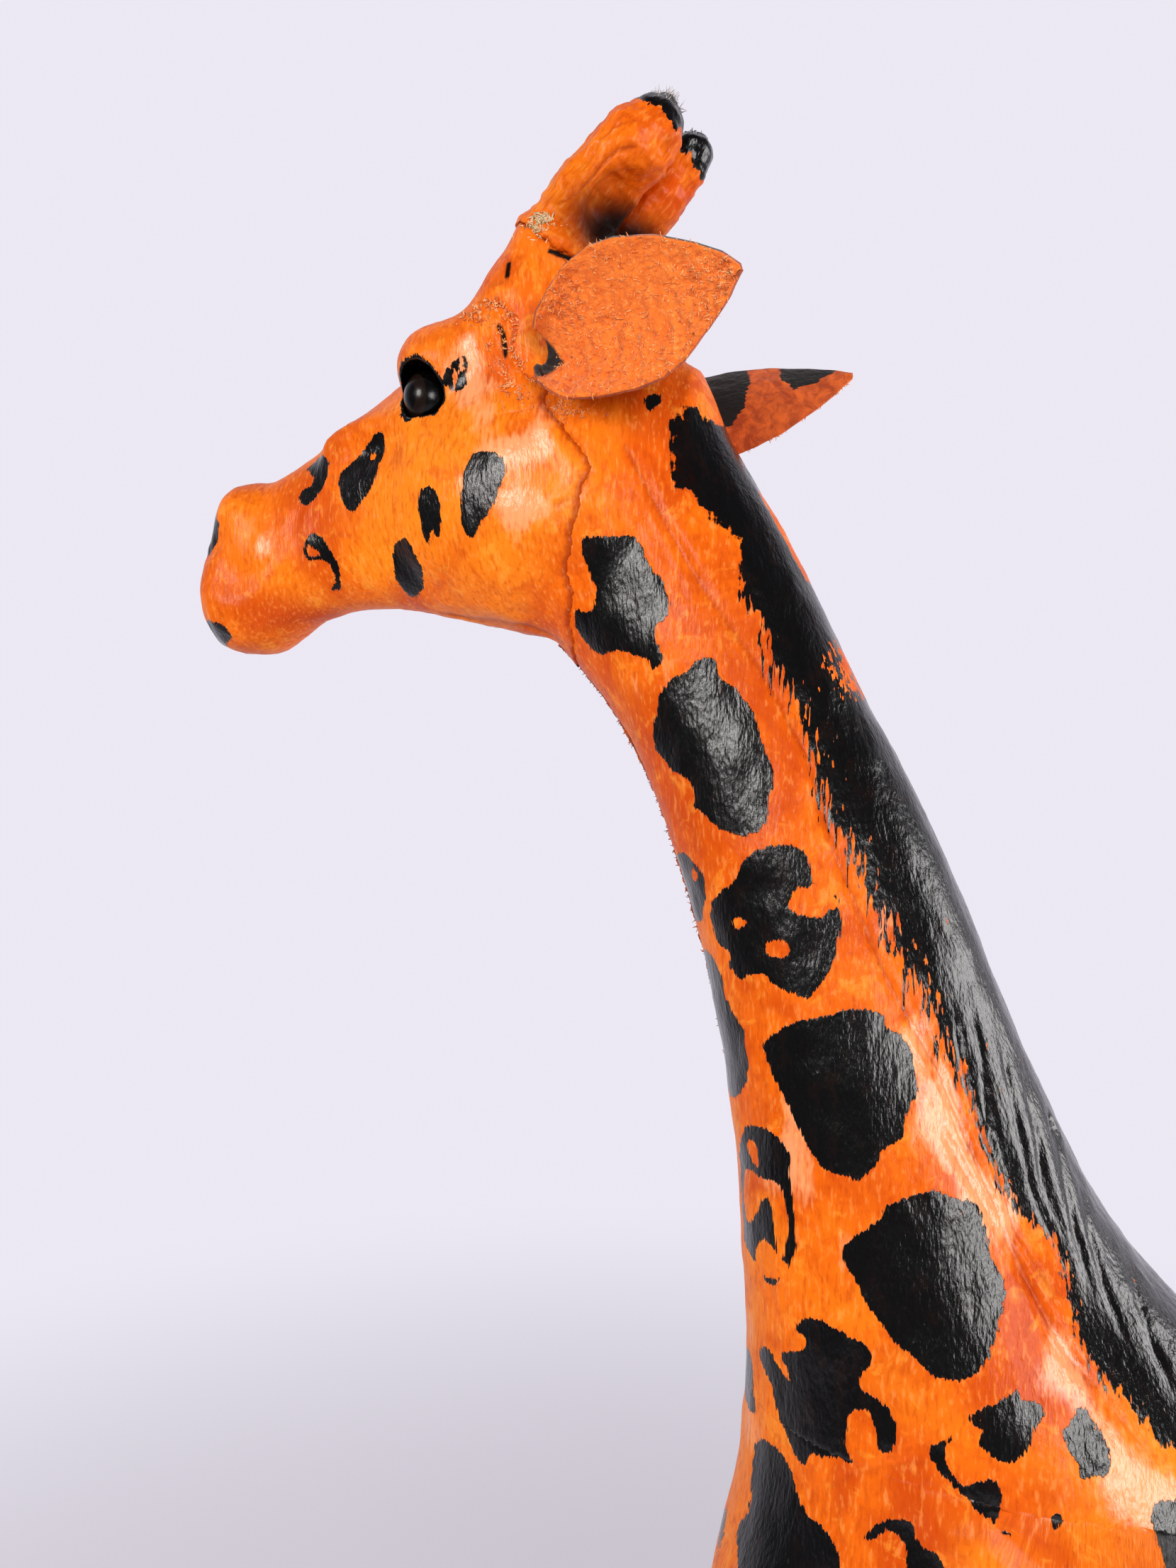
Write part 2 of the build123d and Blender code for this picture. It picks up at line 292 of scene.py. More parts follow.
FRONT_LEG = leg_tube(FRONT_Y, [
    (440, 10, 10, 20), (415, 9, 17, 30), (380, 6, 21, 34), (335, 3, 20, 28), (290, 1, 16, 21),
    (235, 0, 13, 15.5), (205, -1, 12, 13.5), (185, -3, 14, 15), (166, -4, 14.5, 15.5), (145, -1, 11, 12),
    (100, 0, 9, 10),
    (60, 0, 9.2, 10.5), (44, -1, 11, 12.5), (HOOF_TOP, -3, 11, 13), (HOOF_TOP - 8, -3, 11, 13),
])
REAR_LEG = leg_tube(REAR_Y, [
    (425, -14, 10, 22), (400, -12, 17, 34), (365, -7, 21, 41), (325, -3, 20, 37), (280, 4, 16, 27),
    (235, 12, 12.5, 18), (205, 18, 11.5, 14), (182, 21, 12.5, 15.5), (165, 19, 12, 14.5), (145, 16, 10.5, 12),
    (100, 9, 9, 10), (60, 3, 9.2, 10.5), (44, 1, 11, 12.5),
    (HOOF_TOP, -1, 11, 13), (HOOF_TOP - 8, -1, 11, 13),
])
BROW_CENTRE, BROW_RADII = (16.5, -129, 788), (12.5, 16.5, 13.5)
EYE = centre_mm("eye_left")
HOLLOW = (17.0, -70.0, 821.5)  # the pit behind the left horn
HORN = [
    ((13.5, -109, 795), 14),
    ((13.5, -102, 805), 13.4),
    ((12.8, -94, 818), 12.2),
    ((12.0, -85, 831), 11.2),
    ((11.6, -76, 840.5), 10.2),
    ((11.2, -69, 846), 9.0),
    ((11.2, -62.5, 849.5), 7.6),
]


def head_field(x, y, z):
    """The head with its brows, cheeks, muzzle, nostrils, mouth and eye sockets."""
    ax = np.abs(x)
    body = HEAD(x, y, z)
    for place, radii, soft in (
        ((7, -217, 724), (12.5, 12.5, 15), 4.5),
        ((7.5, -211, 750), (11, 12, 12), 5),
        ((0, -212, 718), (15, 13, 11), 4.5),
        ((17, -104, 744), (12.5, 33, 27), 14),
        ((15, -150, 768), (7, 24, 8), 9),
    ):
        body = smooth_union(body, ellipsoid(ax, y, z, place, radii), soft)
    body = smooth_union(body, ellipsoid(ax, y, z, BROW_CENTRE, BROW_RADII), SOFTNESS["brow"])
    for place, radii, soft in (
        ((10.5, -226.5, 747.5), (3.6, 6, 7.5), 2.0),
        ((0, -232, 715.2), (15, 9, 1.6), 1.6),
        ((25, -207, 729), (6, 9, 6), 8),
        ((24, -160, 764), (5, 16, 5), 7),
    ):
        body = smooth_cut(body, ellipsoid(ax, y, z, place, radii), soft)
    return body


def eye_opening(ax, y, z):
    """The D-shaped opening round the left eye, flat at the bottom."""
    py, pz = y - EYE[1], z - EYE[2]
    round_part = np.sqrt((py + 0.12 * pz) ** 2 + (pz * 0.92) ** 2) - 8.0
    return np.maximum(np.maximum(round_part, -pz - 6.9), EYE[0] - 4 - ax)


def crown_field(x, y, z):
    """Both horns, hooked backwards at the top, and the swelling that they rise from."""
    ax = np.abs(x)
    horns = limb(ax, y, z, HORN, 5.0)
    horns = smooth_union(horns, ellipsoid(x, y, z, (12.5, -67, 842.5), (9, 9.5, 8)), 4.0)
    horns = smooth_union(horns, ellipsoid(x, y, z, (-10.5, -58.5, 851.5), (7, 5.5, 6.5)), 3.0)
    crown = smooth_union(horns, ellipsoid(ax, y, z, (9, -101, 796), (16, 20, 17)), 9.0)
    crown = smooth_cut(crown, ellipsoid(x, y, z, HOLLOW, (11, 11.5, 13)), 4.0)
    return smooth_cut(crown, ellipsoid(ax, y, z, (0, -64, 836), (2.6, 14, 22)), 2.5)


def upper_field(x, y, z):
    body = smooth_union(head_field(x, y, z), NECK(x, y, z), SOFTNESS["neck"])
    body = smooth_union(body, crown_field(x, y, z), SOFTNESS["head"])
    return smooth_cut(body, eye_opening(np.abs(x), y, z), 1.2)


def lower_field(x, y, z):
    body = smooth_union(TORSO(x, y, z), NECK(x, y, z), SOFTNESS["torso"])
    for leg in (FRONT_LEG, REAR_LEG):
        body = smooth_union(body, leg(x, y, z), SOFTNESS["leg"])
    return body


# ---------------------------------------------------------------- meshing an implicit shape

def sampled(field, axes):
    """field at every grid point near its surface; elsewhere only its sign, from a coarser grid."""
    block = 5  # fine steps in a coarse one
    counts = [len(a) for a in axes]
    coarse = [np.append(a[:-1:block], a[-1]) for a in axes]
    step = axes[0][1] - axes[0][0]
    rough_value = field(coarse[0][:, None, None], coarse[1][None, :, None], coarse[2][None, None, :])
    rough_value = np.broadcast_to(rough_value, [len(c) for c in coarse])
    spread = [np.minimum(np.arange(n) // block, len(c) - 2) for n, c in zip(counts, coarse)]
    near = np.abs(rough_value) < block * step * 2.2
    close = np.zeros([n - 1 for n in near.shape], bool)
    for i, j, k in CORNERS:
        close |= near[i:near.shape[0] - 1 + i, j:near.shape[1] - 1 + j, k:near.shape[2] - 1 + k]
    grid = np.ix_(*spread)
    value = np.where(rough_value[:-1, :-1, :-1] < 0, -1.0, 1.0)[grid].astype(np.float32)
    i, j, k = np.nonzero(close[grid])
    value[i, j, k] = field(axes[0][i], axes[1][j], axes[2][k])
    return value


def surface_net(field, low, high, step):
    """Vertices and quads of the surface where field is zero, inside a box."""
    low, high = np.asarray(low, float), np.asarray(high, float)
    counts = np.ceil((high - low) / step).astype(int) + 1
    axes = [low[i] + step * np.arange(counts[i]) for i in range(3)]
    value = sampled(field, axes)
    inside = value < 0
    nx, ny, nz = counts - 1
    tally = sum(inside[i:i + nx, j:j + ny, k:k + nz].astype(np.int8) for i, j, k in CORNERS)
    cells = np.argwhere((tally > 0) & (tally < 8))
    at = {corner: value[tuple((cells + corner).T)].astype(float) for corner in CORNERS}
    total, crossings = np.zeros((len(cells), 3)), np.zeros(len(cells))
    for a in CORNERS:
        for axis in range(3):
            if a[axis]:
                continue
            b = tuple(a[i] + (i == axis) for i in range(3))
            crosses = (at[a] < 0) != (at[b] < 0)
            spot = np.tile(np.array(a, float), (len(cells), 1))
            spot[:, axis] = at[a] / np.where(crosses, at[a] - at[b], 1)
            total += spot * crosses[:, None]
            crossings += crosses
    points = low + (cells + total / crossings[:, None]) * step
    number = np.full((nx, ny, nz), -1, np.int32)
    number[tuple(cells.T)] = np.arange(len(cells))
    quads = []
    for axis in range(3):
        u, v = (axis + 1) % 3, (axis + 2) % 3
        shape = list(counts)
        shape[axis] -= 1
        start = [slice(None)] * 3
        start[axis] = slice(0, shape[axis])
        end = [slice(None)] * 3
        end[axis] = slice(1, shape[axis] + 1)
        edges = np.argwhere(inside[tuple(start)] != inside[tuple(end)])
        keep = (edges[:, u] > 0) & (edges[:, v] > 0)
        keep &= (edges[:, u] < counts[u] - 1) & (edges[:, v] < counts[v] - 1)
        edges = edges[keep]
        loop = []
        for du, dv in ((1, 1), (0, 1), (0, 0), (1, 0)):
            cell = edges.copy()
            cell[:, u] -= du
            cell[:, v] -= dv
            loop.append(number[tuple(cell.T)])
        loop = np.stack(loop, 1)
        outward = inside[tuple(edges.T)]
        quads.append(np.where(outward[:, None], loop, loop[:, ::-1]))
    return points, np.concatenate(quads)


def unit(vectors):
    """Each row at length 1."""
    return vectors / (np.linalg.norm(vectors, axis=1, keepdims=True) + 1e-9)


def gradient(field, points):
    reach = 0.25
    x, y, z = points.T
    rise = [field(x + reach, y, z) - field(x - reach, y, z),
            field(x, y + reach, z) - field(x, y - reach, z),
            field(x, y, z + reach) - field(x, y, z - reach)]
    return np.stack(rise, 1) / (2 * reach)


def settle(field, points, rounds=3, limit=0.8):
    """Points moved onto the surface where field is zero."""
    for _ in range(rounds):
        slope = gradient(field, points)
        size = np.sum(slope**2, 1) + 1e-6
        step = slope * (field(*points.T) / size)[:, None]
        length = np.linalg.norm(step, axis=1, keepdims=True)
        points = points - step * np.minimum(1, limit / (length + 1e-9))
    return points


def make_piece(name, points, faces, material, slot, *replaced):
    """A smooth-shaded piece from points in millimetres, which stands for the CAD nodes in replaced."""
    mesh = bpy.data.meshes.new(name)
    mesh.from_pydata((np.asarray(points) * MM).tolist(), [], [list(map(int, f)) for f in faces])
    mesh.validate()
    mesh.shade_smooth()
    piece = bpy.data.objects.new(name, mesh)
    bpy.context.scene.collection.objects.link(piece)
    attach(piece, "root")
    piece.data.materials.append(material)
    if replaced:
        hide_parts(*replaced)
    return piece


def store(piece, name, values):
    """Writes one number, or three, for each vertex, for the materials to read."""
    values = np.asarray(values, np.float32)
    kind = "FLOAT_VECTOR" if values.ndim == 2 else "FLOAT"
    layer = piece.data.attributes.new(name, kind, "POINT")
    layer.data.foreach_set("vector" if values.ndim == 2 else "value", values.ravel())


# ---------------------------------------------------------------- outlines on the left side, as (y, z)

HEAD_SPOTS = {
    "cheek_leaf": [
        (-149, 770), (-149, 766), (-150, 762), (-151, 757), (-153, 752.5), (-157.5, 749), (-160.5, 746),
        (-162.5, 745.8), (-166, 749.5), (-168, 754.7), (-167, 758.8), (-162, 762), (-157, 766), (-153, 768.5),
    ],
    "nose_upper": [
        (-176, 767), (-172, 764.3), (-172.4, 760.3), (-175.5, 755.3), (-179, 751), (-182, 750.4),
        (-184.4, 752.4), (-185, 755.7), (-179.7, 757.8), (-178.4, 760), (-183, 761), (-184.8, 763),
        (-181, 766),
    ],
    "nose_lower": [
        (-179, 741.8), (-175.6, 740), (-172.3, 736), (-170, 731), (-170.3, 725.3), (-172, 723.2),
        (-176.7, 724), (-172.4, 725.6), (-172.5, 729), (-174.8, 732.8), (-178.3, 733.4), (-182, 733),
        (-183, 736.3), (-181.8, 739),
    ],
    "jaw_wedge": [
        (-144.6, 735.6), (-137.8, 734.6), (-137.7, 731.4), (-136, 727.3), (-136.5, 723), (-139, 720.3),
        (-143.7, 719.2), (-146.6, 720), (-149, 724), (-148, 728), (-146.3, 732.7),
    ],
    "cheek_bar": [
        (-131.5, 748), (-126, 748), (-123.7, 744), (-123.6, 739.4), (-125, 733), (-127, 734), (-127.5, 736),
        (-129.3, 734), (-129.6, 730), (-131, 733), (-132, 738), (-132, 744),
    ],
    "cheek_drop": [
        (-111.5, 756.4), (-104.3, 754.5), (-100.8, 751), (-100.5, 748.3), (-102.7, 744.5), (-105, 740),
        (-108.6, 736), (-112, 731.7), (-114.5, 731.6), (-116, 734.7), (-116.3, 740), (-115, 748), (-113, 753),
    ],
    "brow_patch": [
        (-118.8, 786), (-116, 786), (-116.8, 782.6), (-117.6, 780.5), (-116, 777.8), (-121, 776.5),
        (-124, 778.3), (-124, 782), (-121.5, 783.3),
    ],
}
NECK_SPOTS = {
    "neck_1": [
        (-80.3, 729), (-77.6, 730), (-72, 729), (-65, 729.6), (-63, 727.4), (-61.5, 723.4), (-59, 719),
        (-56.4, 716.4), (-55, 712.4), (-54.3, 708), (-55.5, 704.6), (-58.8, 704.4), (-59, 700.5), (-56, 696),
        (-57, 691.7), (-59.7, 691.4), (-61, 695.4), (-66.7, 696), (-73, 698.5), (-75.7, 696.7), (-80.8, 699),
        (-84.4, 703.5), (-85.4, 708), (-83.8, 711.7), (-81.4, 709), (-78, 710), (-76.6, 714), (-78, 719.4),
        (-79.7, 723.7),
    ],
    "neck_2": [
        (-46.3, 694), (-40.8, 694.4), (-40.5, 689), (-35.7, 685.6), (-31.7, 681), (-29, 676),
        (-27.6, 669.4), (-24.7, 664.4), (-25, 659.4), (-26.5, 656.5), (-25.6, 652.7), (-26.8, 648.6),
        (-31.5, 646), (-36.5, 646.7), (-41.3, 649), (-45, 652.5), (-49, 653.5), (-47, 656), (-48.6, 661),
        (-52.8, 663), (-57.6, 667), (-60.8, 670), (-60.7, 676), (-58, 680.5), (-58.7, 684), (-56.4, 686.5),
        (-52.8, 689.3), (-47.7, 691),
    ],
    "neck_3": [
        (-30.8, 642), (-27, 643), (-22, 644.5), (-17.6, 643.8), (-15, 641.6), (-14.3, 634), (-9, 632),
        (-7, 629), (-6.7, 625), (-7, 619.4), (-8.6, 614), (-11, 609), (-14.3, 605.6), (-17, 605.5),
        (-19.7, 606.5), (-22, 606.8), (-24.6, 608.5), (-29, 610), (-33.6, 607), (-35.6, 609.8),
        (-37.7, 611), (-36.3, 615), (-41.4, 616.5), (-43, 620.5), (-43.6, 626), (-40.4, 630.5),
        (-35.6, 633.6), (-33.3, 638.4),
    ],
    "neck_4": [
        (-25, 595), (-19, 598.3), (-12.3, 600.6), (-5.3, 603), (0.3, 603.5), (3.6, 602.3), (3.7, 599.6),
        (7, 598.8), (10, 595), (11.8, 590.4), (12, 584.4), (10.6, 580), (9.5, 576.5), (9.3, 573), (4.5, 570),
        (3, 566.3), (1, 563.6), (-1.5, 561.6), (-4, 562.6), (-7.8, 562), (-10.8, 563.3), (-15.3, 569.7),
        (-19.5, 576.6), (-22.8, 582.5), (-26, 587.8), (-27.7, 591.4),
    ],
    "neck_5": [
        (15.7, 561.7), (12, 559.8), (7, 558), (5, 556), (5, 554.4), (1, 551), (-4.7, 546), (-5.6, 543.5),
        (-3.8, 540), (0, 534.6), (5.3, 528), (9.6, 524.4), (15, 521), (19.5, 519.4), (23, 520), (26, 521.5),
        (28.8, 524), (30.4, 528.7), (32, 534), (33, 539.8), (32, 543.6), (29, 548), (28.4, 554.6),
        (26.6, 559), (21.5, 559.8), (18.8, 561.4),
    ],
    "neck_6": [
        (-33.6, 568.4), (-27, 570), (-22.7, 568.4), (-19.6, 565), (-18.7, 559.4), (-18.6, 553),
        (-17.3, 548.8), (-17.5, 542.6), (-19, 536), (-21, 532.7), (-24, 529.4), (-27, 529.3), (-29, 531.8),
        (-31.3, 533), (-33.7, 534), (-35.4, 534.6), (-35.6, 540.3), (-36.6, 548), (-36.5, 556),
        (-36.7, 559.6), (-34.4, 564.3),
    ],
    "throat_7": [
        (-48, 614.5), (-44, 612.5), (-40, 607.6), (-39.4, 602.8), (-36, 598.7), (-32.7, 593.8),
        (-31.6, 588.6), (-32, 581.6), (-34.5, 576.8), (-37.7, 573.4), (-45, 572), (-54, 590), (-54, 610),
    ],
    "throat_8": [
        (-53, 641.5), (-51.7, 640), (-48, 638.3), (-45, 635), (-44.4, 631), (-46, 625.8), (-48, 621),
        (-54, 619), (-60, 640),
    ],
    "chest_9": [
        (-12.3, 526), (-7.5, 525), (-2, 524), (1.3, 523), (2.5, 520.3), (1.4, 517.3), (-1.3, 512.7),
        (2.6, 512), (6.3, 510.4), (9, 507), (9, 503.8), (7.4, 499.5), (4, 499.8), (4.3, 505), (2, 508.5),
        (-1, 508), (-3.4, 505.4), (-3, 502.8), (-4, 499), (-3, 496.3), (-0.5, 493.5), (-4.3, 494.5),
        (-9, 493.4), (-13, 491.8), (-14.8, 487.4), (-17, 488.7), (-21, 493), (-24, 496), (-24.6, 500),
        (-26.8, 504), (-30.6, 508), (-27, 512), (-22.5, 507.8), (-18.8, 506), (-20, 509.7), (-23.5, 511.5),
        (-18, 515), (-14.3, 518), (-14.7, 520), (-18, 520.4), (-15.6, 524),
    ],
    "chest_10": [
        (-28.4, 487), (-26, 487), (-21.3, 486.8), (-19.3, 484.5), (-16.3, 479.4), (-12.8, 476), (-9.6, 472.8),
        (-8, 462), (-14, 450), (-24, 448), (-29, 456), (-31.4, 470), (-32, 477), (-31.3, 482.3),
    ],
    "chest_11": [
        (22.4, 509), (19, 506), (16.7, 504), (16, 502), (19, 499), (22, 497), (25, 494.7), (28, 492.3),
        (32, 489.6), (36, 487), (32.6, 490), (31.3, 493), (32.5, 497), (31.5, 501), (26.6, 499), (24, 497),
        (22, 498), (20, 501), (19.8, 504.6), (21.8, 507),
    ],
    "chest_11_top": [
        (24.4, 512), (27, 514.4), (31, 516.3), (33.5, 518.5), (35.5, 520.6), (36.8, 517.7), (42, 518.5),
        (42, 516.4), (39.4, 512.5), (38, 508.8), (36.3, 506), (32.4, 504.5), (29, 506), (27, 508),
        (28.4, 510), (27, 511),
    ],
    "chest_11_back": [
        (48.7, 518.6), (51.5, 516), (53.4, 512.6), (55, 508.3), (55, 505), (52.7, 505.3), (49.6, 503.5),
        (48.3, 506), (47.4, 508.7), (45.8, 510.3), (45.5, 513), (47.4, 515),
    ],
    "chest_11_low": [
        (41.4, 494.5), (45, 497), (45.5, 494.6), (43.3, 492),
    ],
    "chest_12": [
        (0.3, 476.5), (1.6, 479.5), (3.7, 482), (6.5, 484.5), (10, 486.4), (12.7, 486), (14, 483.3),
        (15.3, 481), (19, 481.6), (22, 476), (20, 466), (14, 458), (12, 468), (11.5, 477), (11.5, 481),
        (8, 482.7), (4.5, 480.7), (1.7, 477.6),
    ],
    "chest_13": [
        (63.7, 500.7), (68, 501.6), (76, 499), (80, 490), (74, 483), (67, 486), (65, 492.5), (63, 497),
    ],
    "throat_14": [
        (-34.8, 504.7), (-32.8, 502.5), (-32, 499.3), (-32, 495), (-31, 491), (-36, 488), (-44, 494),
        (-42, 503),
    ],
    "throat_15": [
        (-36.4, 481.6), (-36, 478), (-36.7, 473), (-37, 466.7), (-46, 462), (-48, 478),
    ],
    "ear_streak": [
        (-62.8, 769), (-58.6, 770), (-58.3, 766), (-60, 766), (-60, 762.8), (-61.8, 764.6),
    ],
}
CHIPS = [  # places where the black has come off the spots
    [
        (-18.7, 633), (-14, 633.5), (-9.7, 632.7), (-7, 629.5), (-9.5, 627.6), (-11.4, 625.7), (-15.3, 626),
        (-18.6, 626.4), (-20, 628.8),
    ],
    [(-34, 625.4), (-31.6, 623.4), (-34, 621), (-36.5, 623)],
    [(-26.8, 618), (-23.3, 619.4), (-19.8, 619), (-19.7, 616), (-22.5, 614.7), (-26, 615)],
    [(-32.8, 609), (-28, 610.7), (-25.3, 609.7), (-24, 608), (-26.8, 606), (-30.5, 605), (-34, 606.5)],
    [(-33.4, 565), (-30.3, 565), (-29.4, 562.8), (-28.6, 558.4), (-30.7, 559), (-33, 561.4)],
    [
        (-32.8, 556.8), (-27.5, 556.5), (-21.5, 556.8), (-20.6, 551), (-19.6, 547.5), (-19.9, 540.4),
        (-21.8, 536.6), (-23, 539), (-23.7, 546), (-24.7, 552), (-26, 552), (-29, 548), (-30.7, 543),
        (-33, 541.5), (-34, 545.4), (-34.7, 550), (-34, 554.5),
    ],
    [
        (-28, 541), (-24.6, 540), (-22.8, 537.8), (-20, 536.8), (-20, 534), (-24, 530.6), (-27, 530.4),
        (-29.6, 532.3), (-30, 535.3),
    ],
    [(-50, 637), (-48, 636), (-48, 633), (-50, 633)],
    [(-155, 763), (-153, 763.6), (-153, 761.8), (-155, 761.4)],
    [(-121.5, 784), (-119.5, 781.5), (-121, 778), (-122.4, 777.6), (-121.8, 781)],
    [(-118.2, 787), (-117.4, 784), (-118.6, 781), (-119.4, 784)],
    [(-185.5, 764), (-181.5, 761.6), (-178.5, 758.5), (-182, 756), (-184, 759)],
    [(-181.5, 738.5), (-178, 736.6), (-176, 733.8), (-179, 733), (-182, 734.6)],
]
MANE = [
    (-52, 767), (-55, 763), (-56.4, 757), (-55.4, 752), (-54, 746), (-53, 741.7), (-50, 740), (-46.8, 736),
    (-42.7, 734), (-40, 729.6), (-36.3, 727), (-35, 722), (-35.7, 718), (-35, 712.5), (-34.4, 708),
    (-30, 704.5), (-29, 699), (-28, 692), (-22.5, 684), (-18, 676), (-15.5, 670), (-13.5, 663),
    (-11.5, 655), (-9, 649), (-5, 643), (-2.5, 636), (0, 630), (3.5, 624), (7.5, 616), (11, 609.5),
    (14.7, 604), (16.3, 597), (19.3, 592), (22, 588), (24, 583), (26, 576), (27.7, 570.5), (30.6, 564.7),
    (33, 559), (39, 554), (44.4, 548), (46.4, 541), (47.7, 534), (50.3, 527), (53.5, 522.7), (58.6, 520.4),
    (61.6, 515.5), (64.6, 512), (72, 509), (80, 503), (92, 497), (104, 494), (120, 492), (134, 489),
    (150, 560), (60, 720), (-20, 800), (-38, 770), (-46, 762),
]
MANE_NOTCHES = [
    [(-10.5, 700), (-11.6, 695.3), (-11, 691), (-8.5, 687.5), (-5, 685), (-2, 690), (-6, 703)],
    [(-37, 742), (-34, 735), (-30, 728), (-25, 719), (-19, 716), (-14, 722), (-30, 748)],
]
# Where the face hide ends against the neck hide: y at a height z
HEAD_SEAM = np.array([
    (690, -90), (700, -88.5), (707, -87), (715, -84.8), (724, -84.3), (734, -80.6), (740, -79.4),
    (747, -75.9), (754, -78.4), (761, -84.8), (767, -89.5), (773, -90), (782, -80), (795, -68), (810, -60),
    (870, -52),
], float)
# Where the crown's hide ends under the horns' wraps: z at a y
HORN_SEAM = np.array([
    (-120, 831), (-108, 827), (-102, 824.5), (-96, 820), (-90, 814.5), (-84, 811), (-70, 809),
], float)
SIDES = (("left", 1), ("right", -1))


def rounded(outline, rounds=2):
    """The outline with its corners cut, which turns it into brushed curves."""
    points = np.array(outline, float)
    for _ in range(rounds):
        after = np.roll(points, -1, axis=0)
        points = np.stack([points * 0.75 + after * 0.25, points * 0.25 + after * 0.75], 1).reshape(-1, 2)
    return points


def depth_inside(outline, y, z, reach=12.0):
    """How far (y, z) lies inside a closed outline; negative outside it, down to -reach."""
    result = np.full(len(y), -reach)
    low, high = outline.min(0) - reach, outline.max(0) + reach
    near = (y > low[0]) & (y < high[0]) & (z > low[1]) & (z < high[1])
    if not near.any():
        return result
    p = np.stack([y[near], z[near]], 1)
    gap, crossings = np.full(len(p), reach**2), np.zeros(len(p), bool)
    for a, b in zip(outline, np.roll(outline, -1, axis=0)):
        edge = b - a
        along = np.clip(((p - a) @ edge) / (edge @ edge + 1e-9), 0, 1)
        away = p - a - along[:, None] * edge
        gap = np.minimum(gap, (away**2).sum(1))
        if a[1] != b[1]:
            spans = (a[1] > p[:, 1]) != (b[1] > p[:, 1])
            crossings ^= spans & (p[:, 0] < a[0] + (p[:, 1] - a[1]) / (b[1] - a[1]) * edge[0])
    result[near] = np.sqrt(gap) * np.where(crossings, 1, -1)
    return result


def near_line(line, points, width, reach=14.0):
    """1 on an open (y, z) line, fading to 0 within a few widths of it."""
    line, place = np.array(line, float), points[:, 1:]
    near = np.nonzero(((place > line.min(0) - reach) & (place < line.max(0) + reach)).all(1))[0]
    gap, p = np.full(len(points), reach), place[near]
    for a, b in zip(line, line[1:]):
        edge = b - a
        along = np.clip(((p - a) @ edge) / (edge @ edge), 0, 1)
        away = p - a - along[:, None] * edge
        gap[near] = np.minimum(gap[near], np.sqrt((away**2).sum(1)))
    return np.exp(-((gap / width) ** 2))


def blob(rng, y, z, radius, stretch, lean):
    """A hand-painted spot: a lumpy closed outline."""
    turns = np.linspace(0, 2 * math.pi, 12, endpoint=False)
    reach = radius * (1 + rng.uniform(-0.24, 0.24, 12))
    along, across = reach * np.cos(turns) * stretch, reach * np.sin(turns) / stretch
    return np.stack([y + along * math.cos(lean) - across * math.sin(lean),
                     z + along * math.sin(lean) + across * math.cos(lean)], 1)


def body_spots(seed):
    """Spots over the body and down the legs, smaller towards the knees."""
    rng = np.random.default_rng(seed)
    spots = []
    for row, z in enumerate(range(322, 500, 34)):
        for y in range(-52 + 18 * (row % 2), 236, 37):
            spot_y, spot_z = y + rng.uniform(-5, 5), z + rng.uniform(-5, 5)
            radius, stretch, lean = rng.uniform(11.5, 15.5), rng.uniform(0.88, 1.2), rng.uniform(-0.6, 0.9)
            if spot_z > 474 and spot_y < 96:
                continue
            spots.append(blob(rng, spot_y, spot_z, radius, stretch, lean))
    for leg_y, drift in ((FRONT_Y, 0.0), (REAR_Y, -0.14)):
        z, side = 292.0, 1
        while z > 75:
            size = 5.0 + 7.5 * (z - 75) / 217
            spot_y = leg_y + drift * (z - 240) * (z > 190) + 8 + side * size * 0.55
            spots.append(blob(rng, spot_y, z, size, 0.85, rng.uniform(-0.3, 0.3)))
            z -= size * 1.75
            side = -side
    return spots


def other_side(points, shift):
    """(y, z) to look up for the right side, whose spots are like the left's but not mirrored."""
    y, z = points[:, 1], points[:, 2]
    y = y + 5.0 * noise(points, 46, 91)
    z = z + shift + 6.0 * noise(points, 52, 92)
    return y, z


def deepest(outlines, y, z):
    result = np.full(len(y), -12.0)
    for outline in outlines:
        result = np.maximum(result, depth_inside(rounded(outline), y, z))
    return result


def two_sided(points, left_outlines, right_outlines, shift):
    """Depth inside the left side's outlines where x > 0, and inside the right side's elsewhere."""
    left = points[:, 0] > 0
    result = np.zeros(len(points))
    result[left] = deepest(left_outlines, points[left, 1], points[left, 2])
    y, z = other_side(points[~left], shift)
    result[~left] = deepest(right_outlines, y, z)
    return result


def bare_front(points, depth):
    """Keeps the two sides' spots apart down the throat and chest and under the belly, with round ends."""
    ahead = np.interp(points[:, 2], [400, 420, 500, 556, 605, 632, 660, 682, 701, 712],
                      [300, -10, -26, -8, -16, -24, -36, -48, -62, -72]) - points[:, 1]
    gap = np.abs(points[:, 0]) - 6.5 + 5.0 * noise(points, 17, 55) + 24 * ramp(ahead, 6, 0)
    return np.where(points[:, 2] < 712, smooth_union(depth, gap, 11.0), depth)


def chipped(points, depth, shift):
    return np.minimum(depth, -two_sided(points, CHIPS, CHIPS, shift))


def painted_depth(points, spots, shift):
    """How far inside the black paint each point is, negative on bare hide."""
    outlines = list(spots.values())
    return chipped(points, bare_front(points, two_sided(points, outlines, outlines, shift)), shift)


def mane_depth(points):
    y, z = points[:, 1].copy(), points[:, 2].copy()
    right = points[:, 0] < 0
    y[right] += 4.0 * noise(points[right], 38, 77) - 1.0
    depth = depth_inside(rounded(MANE, 1), y, z, 25.0)
    middle = points[:, 0] > -7
    depth[middle] = np.minimum(depth[middle], -depth_inside(rounded(MANE_NOTCHES[0]), y[middle], z[middle]))
    far = points[:, 0] < 4
    depth[far] = np.minimum(depth[far], -depth_inside(rounded(MANE_NOTCHES[1]), y[far], z[far]))
    return depth


# ---------------------------------------------------------------- materials

